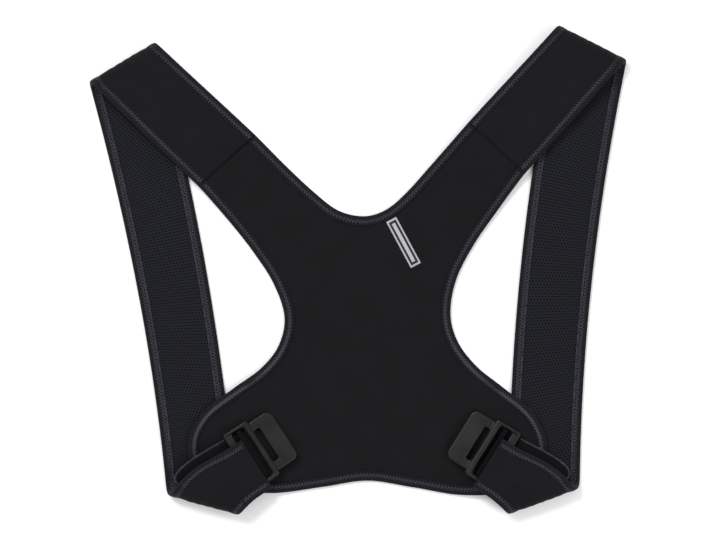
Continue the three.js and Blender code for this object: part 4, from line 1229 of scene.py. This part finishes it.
def label_cloth():
    """The woven label, thinner at its rim and drawn down along its seam."""
    middle = np.array(LABEL_PLACE) * (PANEL_HALF_WIDTH, PANEL_HEIGHT)
    way = towards(math.radians(LABEL_ANGLE))
    side = towards(math.radians(LABEL_ANGLE) + math.pi / 2)
    along = np.linspace(-0.5, 0.5, LABEL_ROWS) * LABEL_LENGTH
    across = np.linspace(-0.5, 0.5, LABEL_COLUMNS) * LABEL_WIDTH
    a, c = np.meshgrid(along, across, indexing="ij")
    spot = middle + a[..., None] * way + c[..., None] * side
    border = np.minimum(LABEL_LENGTH / 2 - np.abs(a), LABEL_WIDTH / 2 - np.abs(c))
    thick = LABEL_THICKNESS * mix(LABEL_EDGE_SHARE, 1, smooth(border / LABEL_EDGE_REACH))
    drawn = np.exp(-((border - LABEL_STITCH["inset"]) / LABEL_STITCH["width"]) ** 2)
    top = panel_point(spot, PANEL_THICKNESS / 2 + GAP + thick - LABEL_STITCH["depth"] * drawn)
    low = panel_point(spot, PANEL_THICKNESS / 2 + 0.05)
    rings = np.concatenate([top, low[:, ::-1]], 1)
    around = np.concatenate([across, 2 * across[-1] - across[::-1], [40]]) / 10
    obj = sweep("woven_label_cloth", rings, along / 10, around, LABEL_CLOTH)
    return stand_in(obj, "woven_label")


def moulded_buckle(name):
    """The buckle from its CAD solid, with its edges rounded as a moulding's are."""
    obj = linked(f"{name}_buckle_moulding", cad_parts[f"{name}_buckle"].data.copy())
    obj.data.materials.clear()
    obj.data.materials.append(PLASTIC)
    weld = obj.modifiers.new("weld", "WELD")
    weld.merge_threshold = WELD_REACH
    remesh = obj.modifiers.new("remesh", "REMESH")
    remesh.mode = "VOXEL"
    remesh.voxel_size = VOXEL
    soften = obj.modifiers.new("soften", "SMOOTH")
    soften.factor = 0.5
    soften.iterations = 4
    apply_modifiers(obj)
    obj.data.polygons.foreach_set("use_smooth", [True] * len(obj.data.polygons))
    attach(obj, "root")
    return stand_in(obj, f"{name}_buckle")


# The whole

panel = panel_cloth()
panel_trim = [panel_tape("neck", "neck_binding"), panel_tape("lower", "lower_binding"), label_cloth(),
              panel_stitches("neck", "neck_binding"), panel_stitches("lower", "lower_binding")]

for strap in straps:
    body = strap_body(strap)
    lining = lining_body(strap)
    trim = [strap_tape(strap, INNER, "inner"), strap_tape(strap, OUTER, "outer")]
    trim += strap_stitches(strap, INNER, "inner") + strap_stitches(strap, OUTER, "outer")
    trim += [tape_bead(strap, INNER, "inner"), tape_bead(strap, OUTER, "outer")]
    tail_band(strap)
    tail_bead(strap)
    moulded_buckle(strap.name)


# Floor, light and camera, in metres

FLOOR_HALF = 6
WORLD_LIGHT = 0.75
FRAME_WIDTH = 0.6036
CAMERA_HEIGHT = 3.5
SENSOR_WIDTH = 36


def floor():
    n = Nodes("studio_floor")
    cloud = n.noise(n.object_place(), 3, 2)
    n.finish(n.mottle(cloud, (0.86, 0.86, 0.86, 1), (0.88, 0.88, 0.88, 1)), 0.9)
    mesh = bpy.data.meshes.new("floor")
    corners = [(x * FLOOR_HALF, y * FLOOR_HALF, 0) for x, y in ((-1, -1), (1, -1), (1, 1), (-1, 1))]
    mesh.from_pydata(corners, [], [(0, 1, 2, 3)])
    mesh.materials.append(n.material)
    linked("floor", mesh)


def area_light(name, place, size, power):
    """A round soft light that looks at the origin."""
    data = bpy.data.lights.new(name, "AREA")
    data.shape = "DISK"
    data.size = size
    data.energy = power
    obj = linked(name, data)
    obj.location = place
    obj.rotation_mode = "QUATERNION"
    obj.rotation_quaternion = (-Vector(place)).to_track_quat("-Z", "Y")


floor()
area_light("key", (-0.9, 1.1, 1.9), 1.0, 38)
area_light("fill", (1.3, -0.6, 1.8), 1.6, 20)
world = bpy.data.worlds.new("studio")
bpy.context.scene.world = world
world.use_nodes = True
background = world.node_tree.nodes["Background"].inputs
background["Color"].default_value = (1, 1, 1, 1)
background["Strength"].default_value = WORLD_LIGHT

camera_data = bpy.data.cameras.new("camera")
camera_data.sensor_width = SENSOR_WIDTH
camera_data.lens = SENSOR_WIDTH * CAMERA_HEIGHT / FRAME_WIDTH
camera_data.clip_end = 20
camera = linked("camera", camera_data)
camera.location = (0, 0, CAMERA_HEIGHT)
bpy.context.scene.camera = camera
bpy.context.scene.view_settings.view_transform = "Standard"
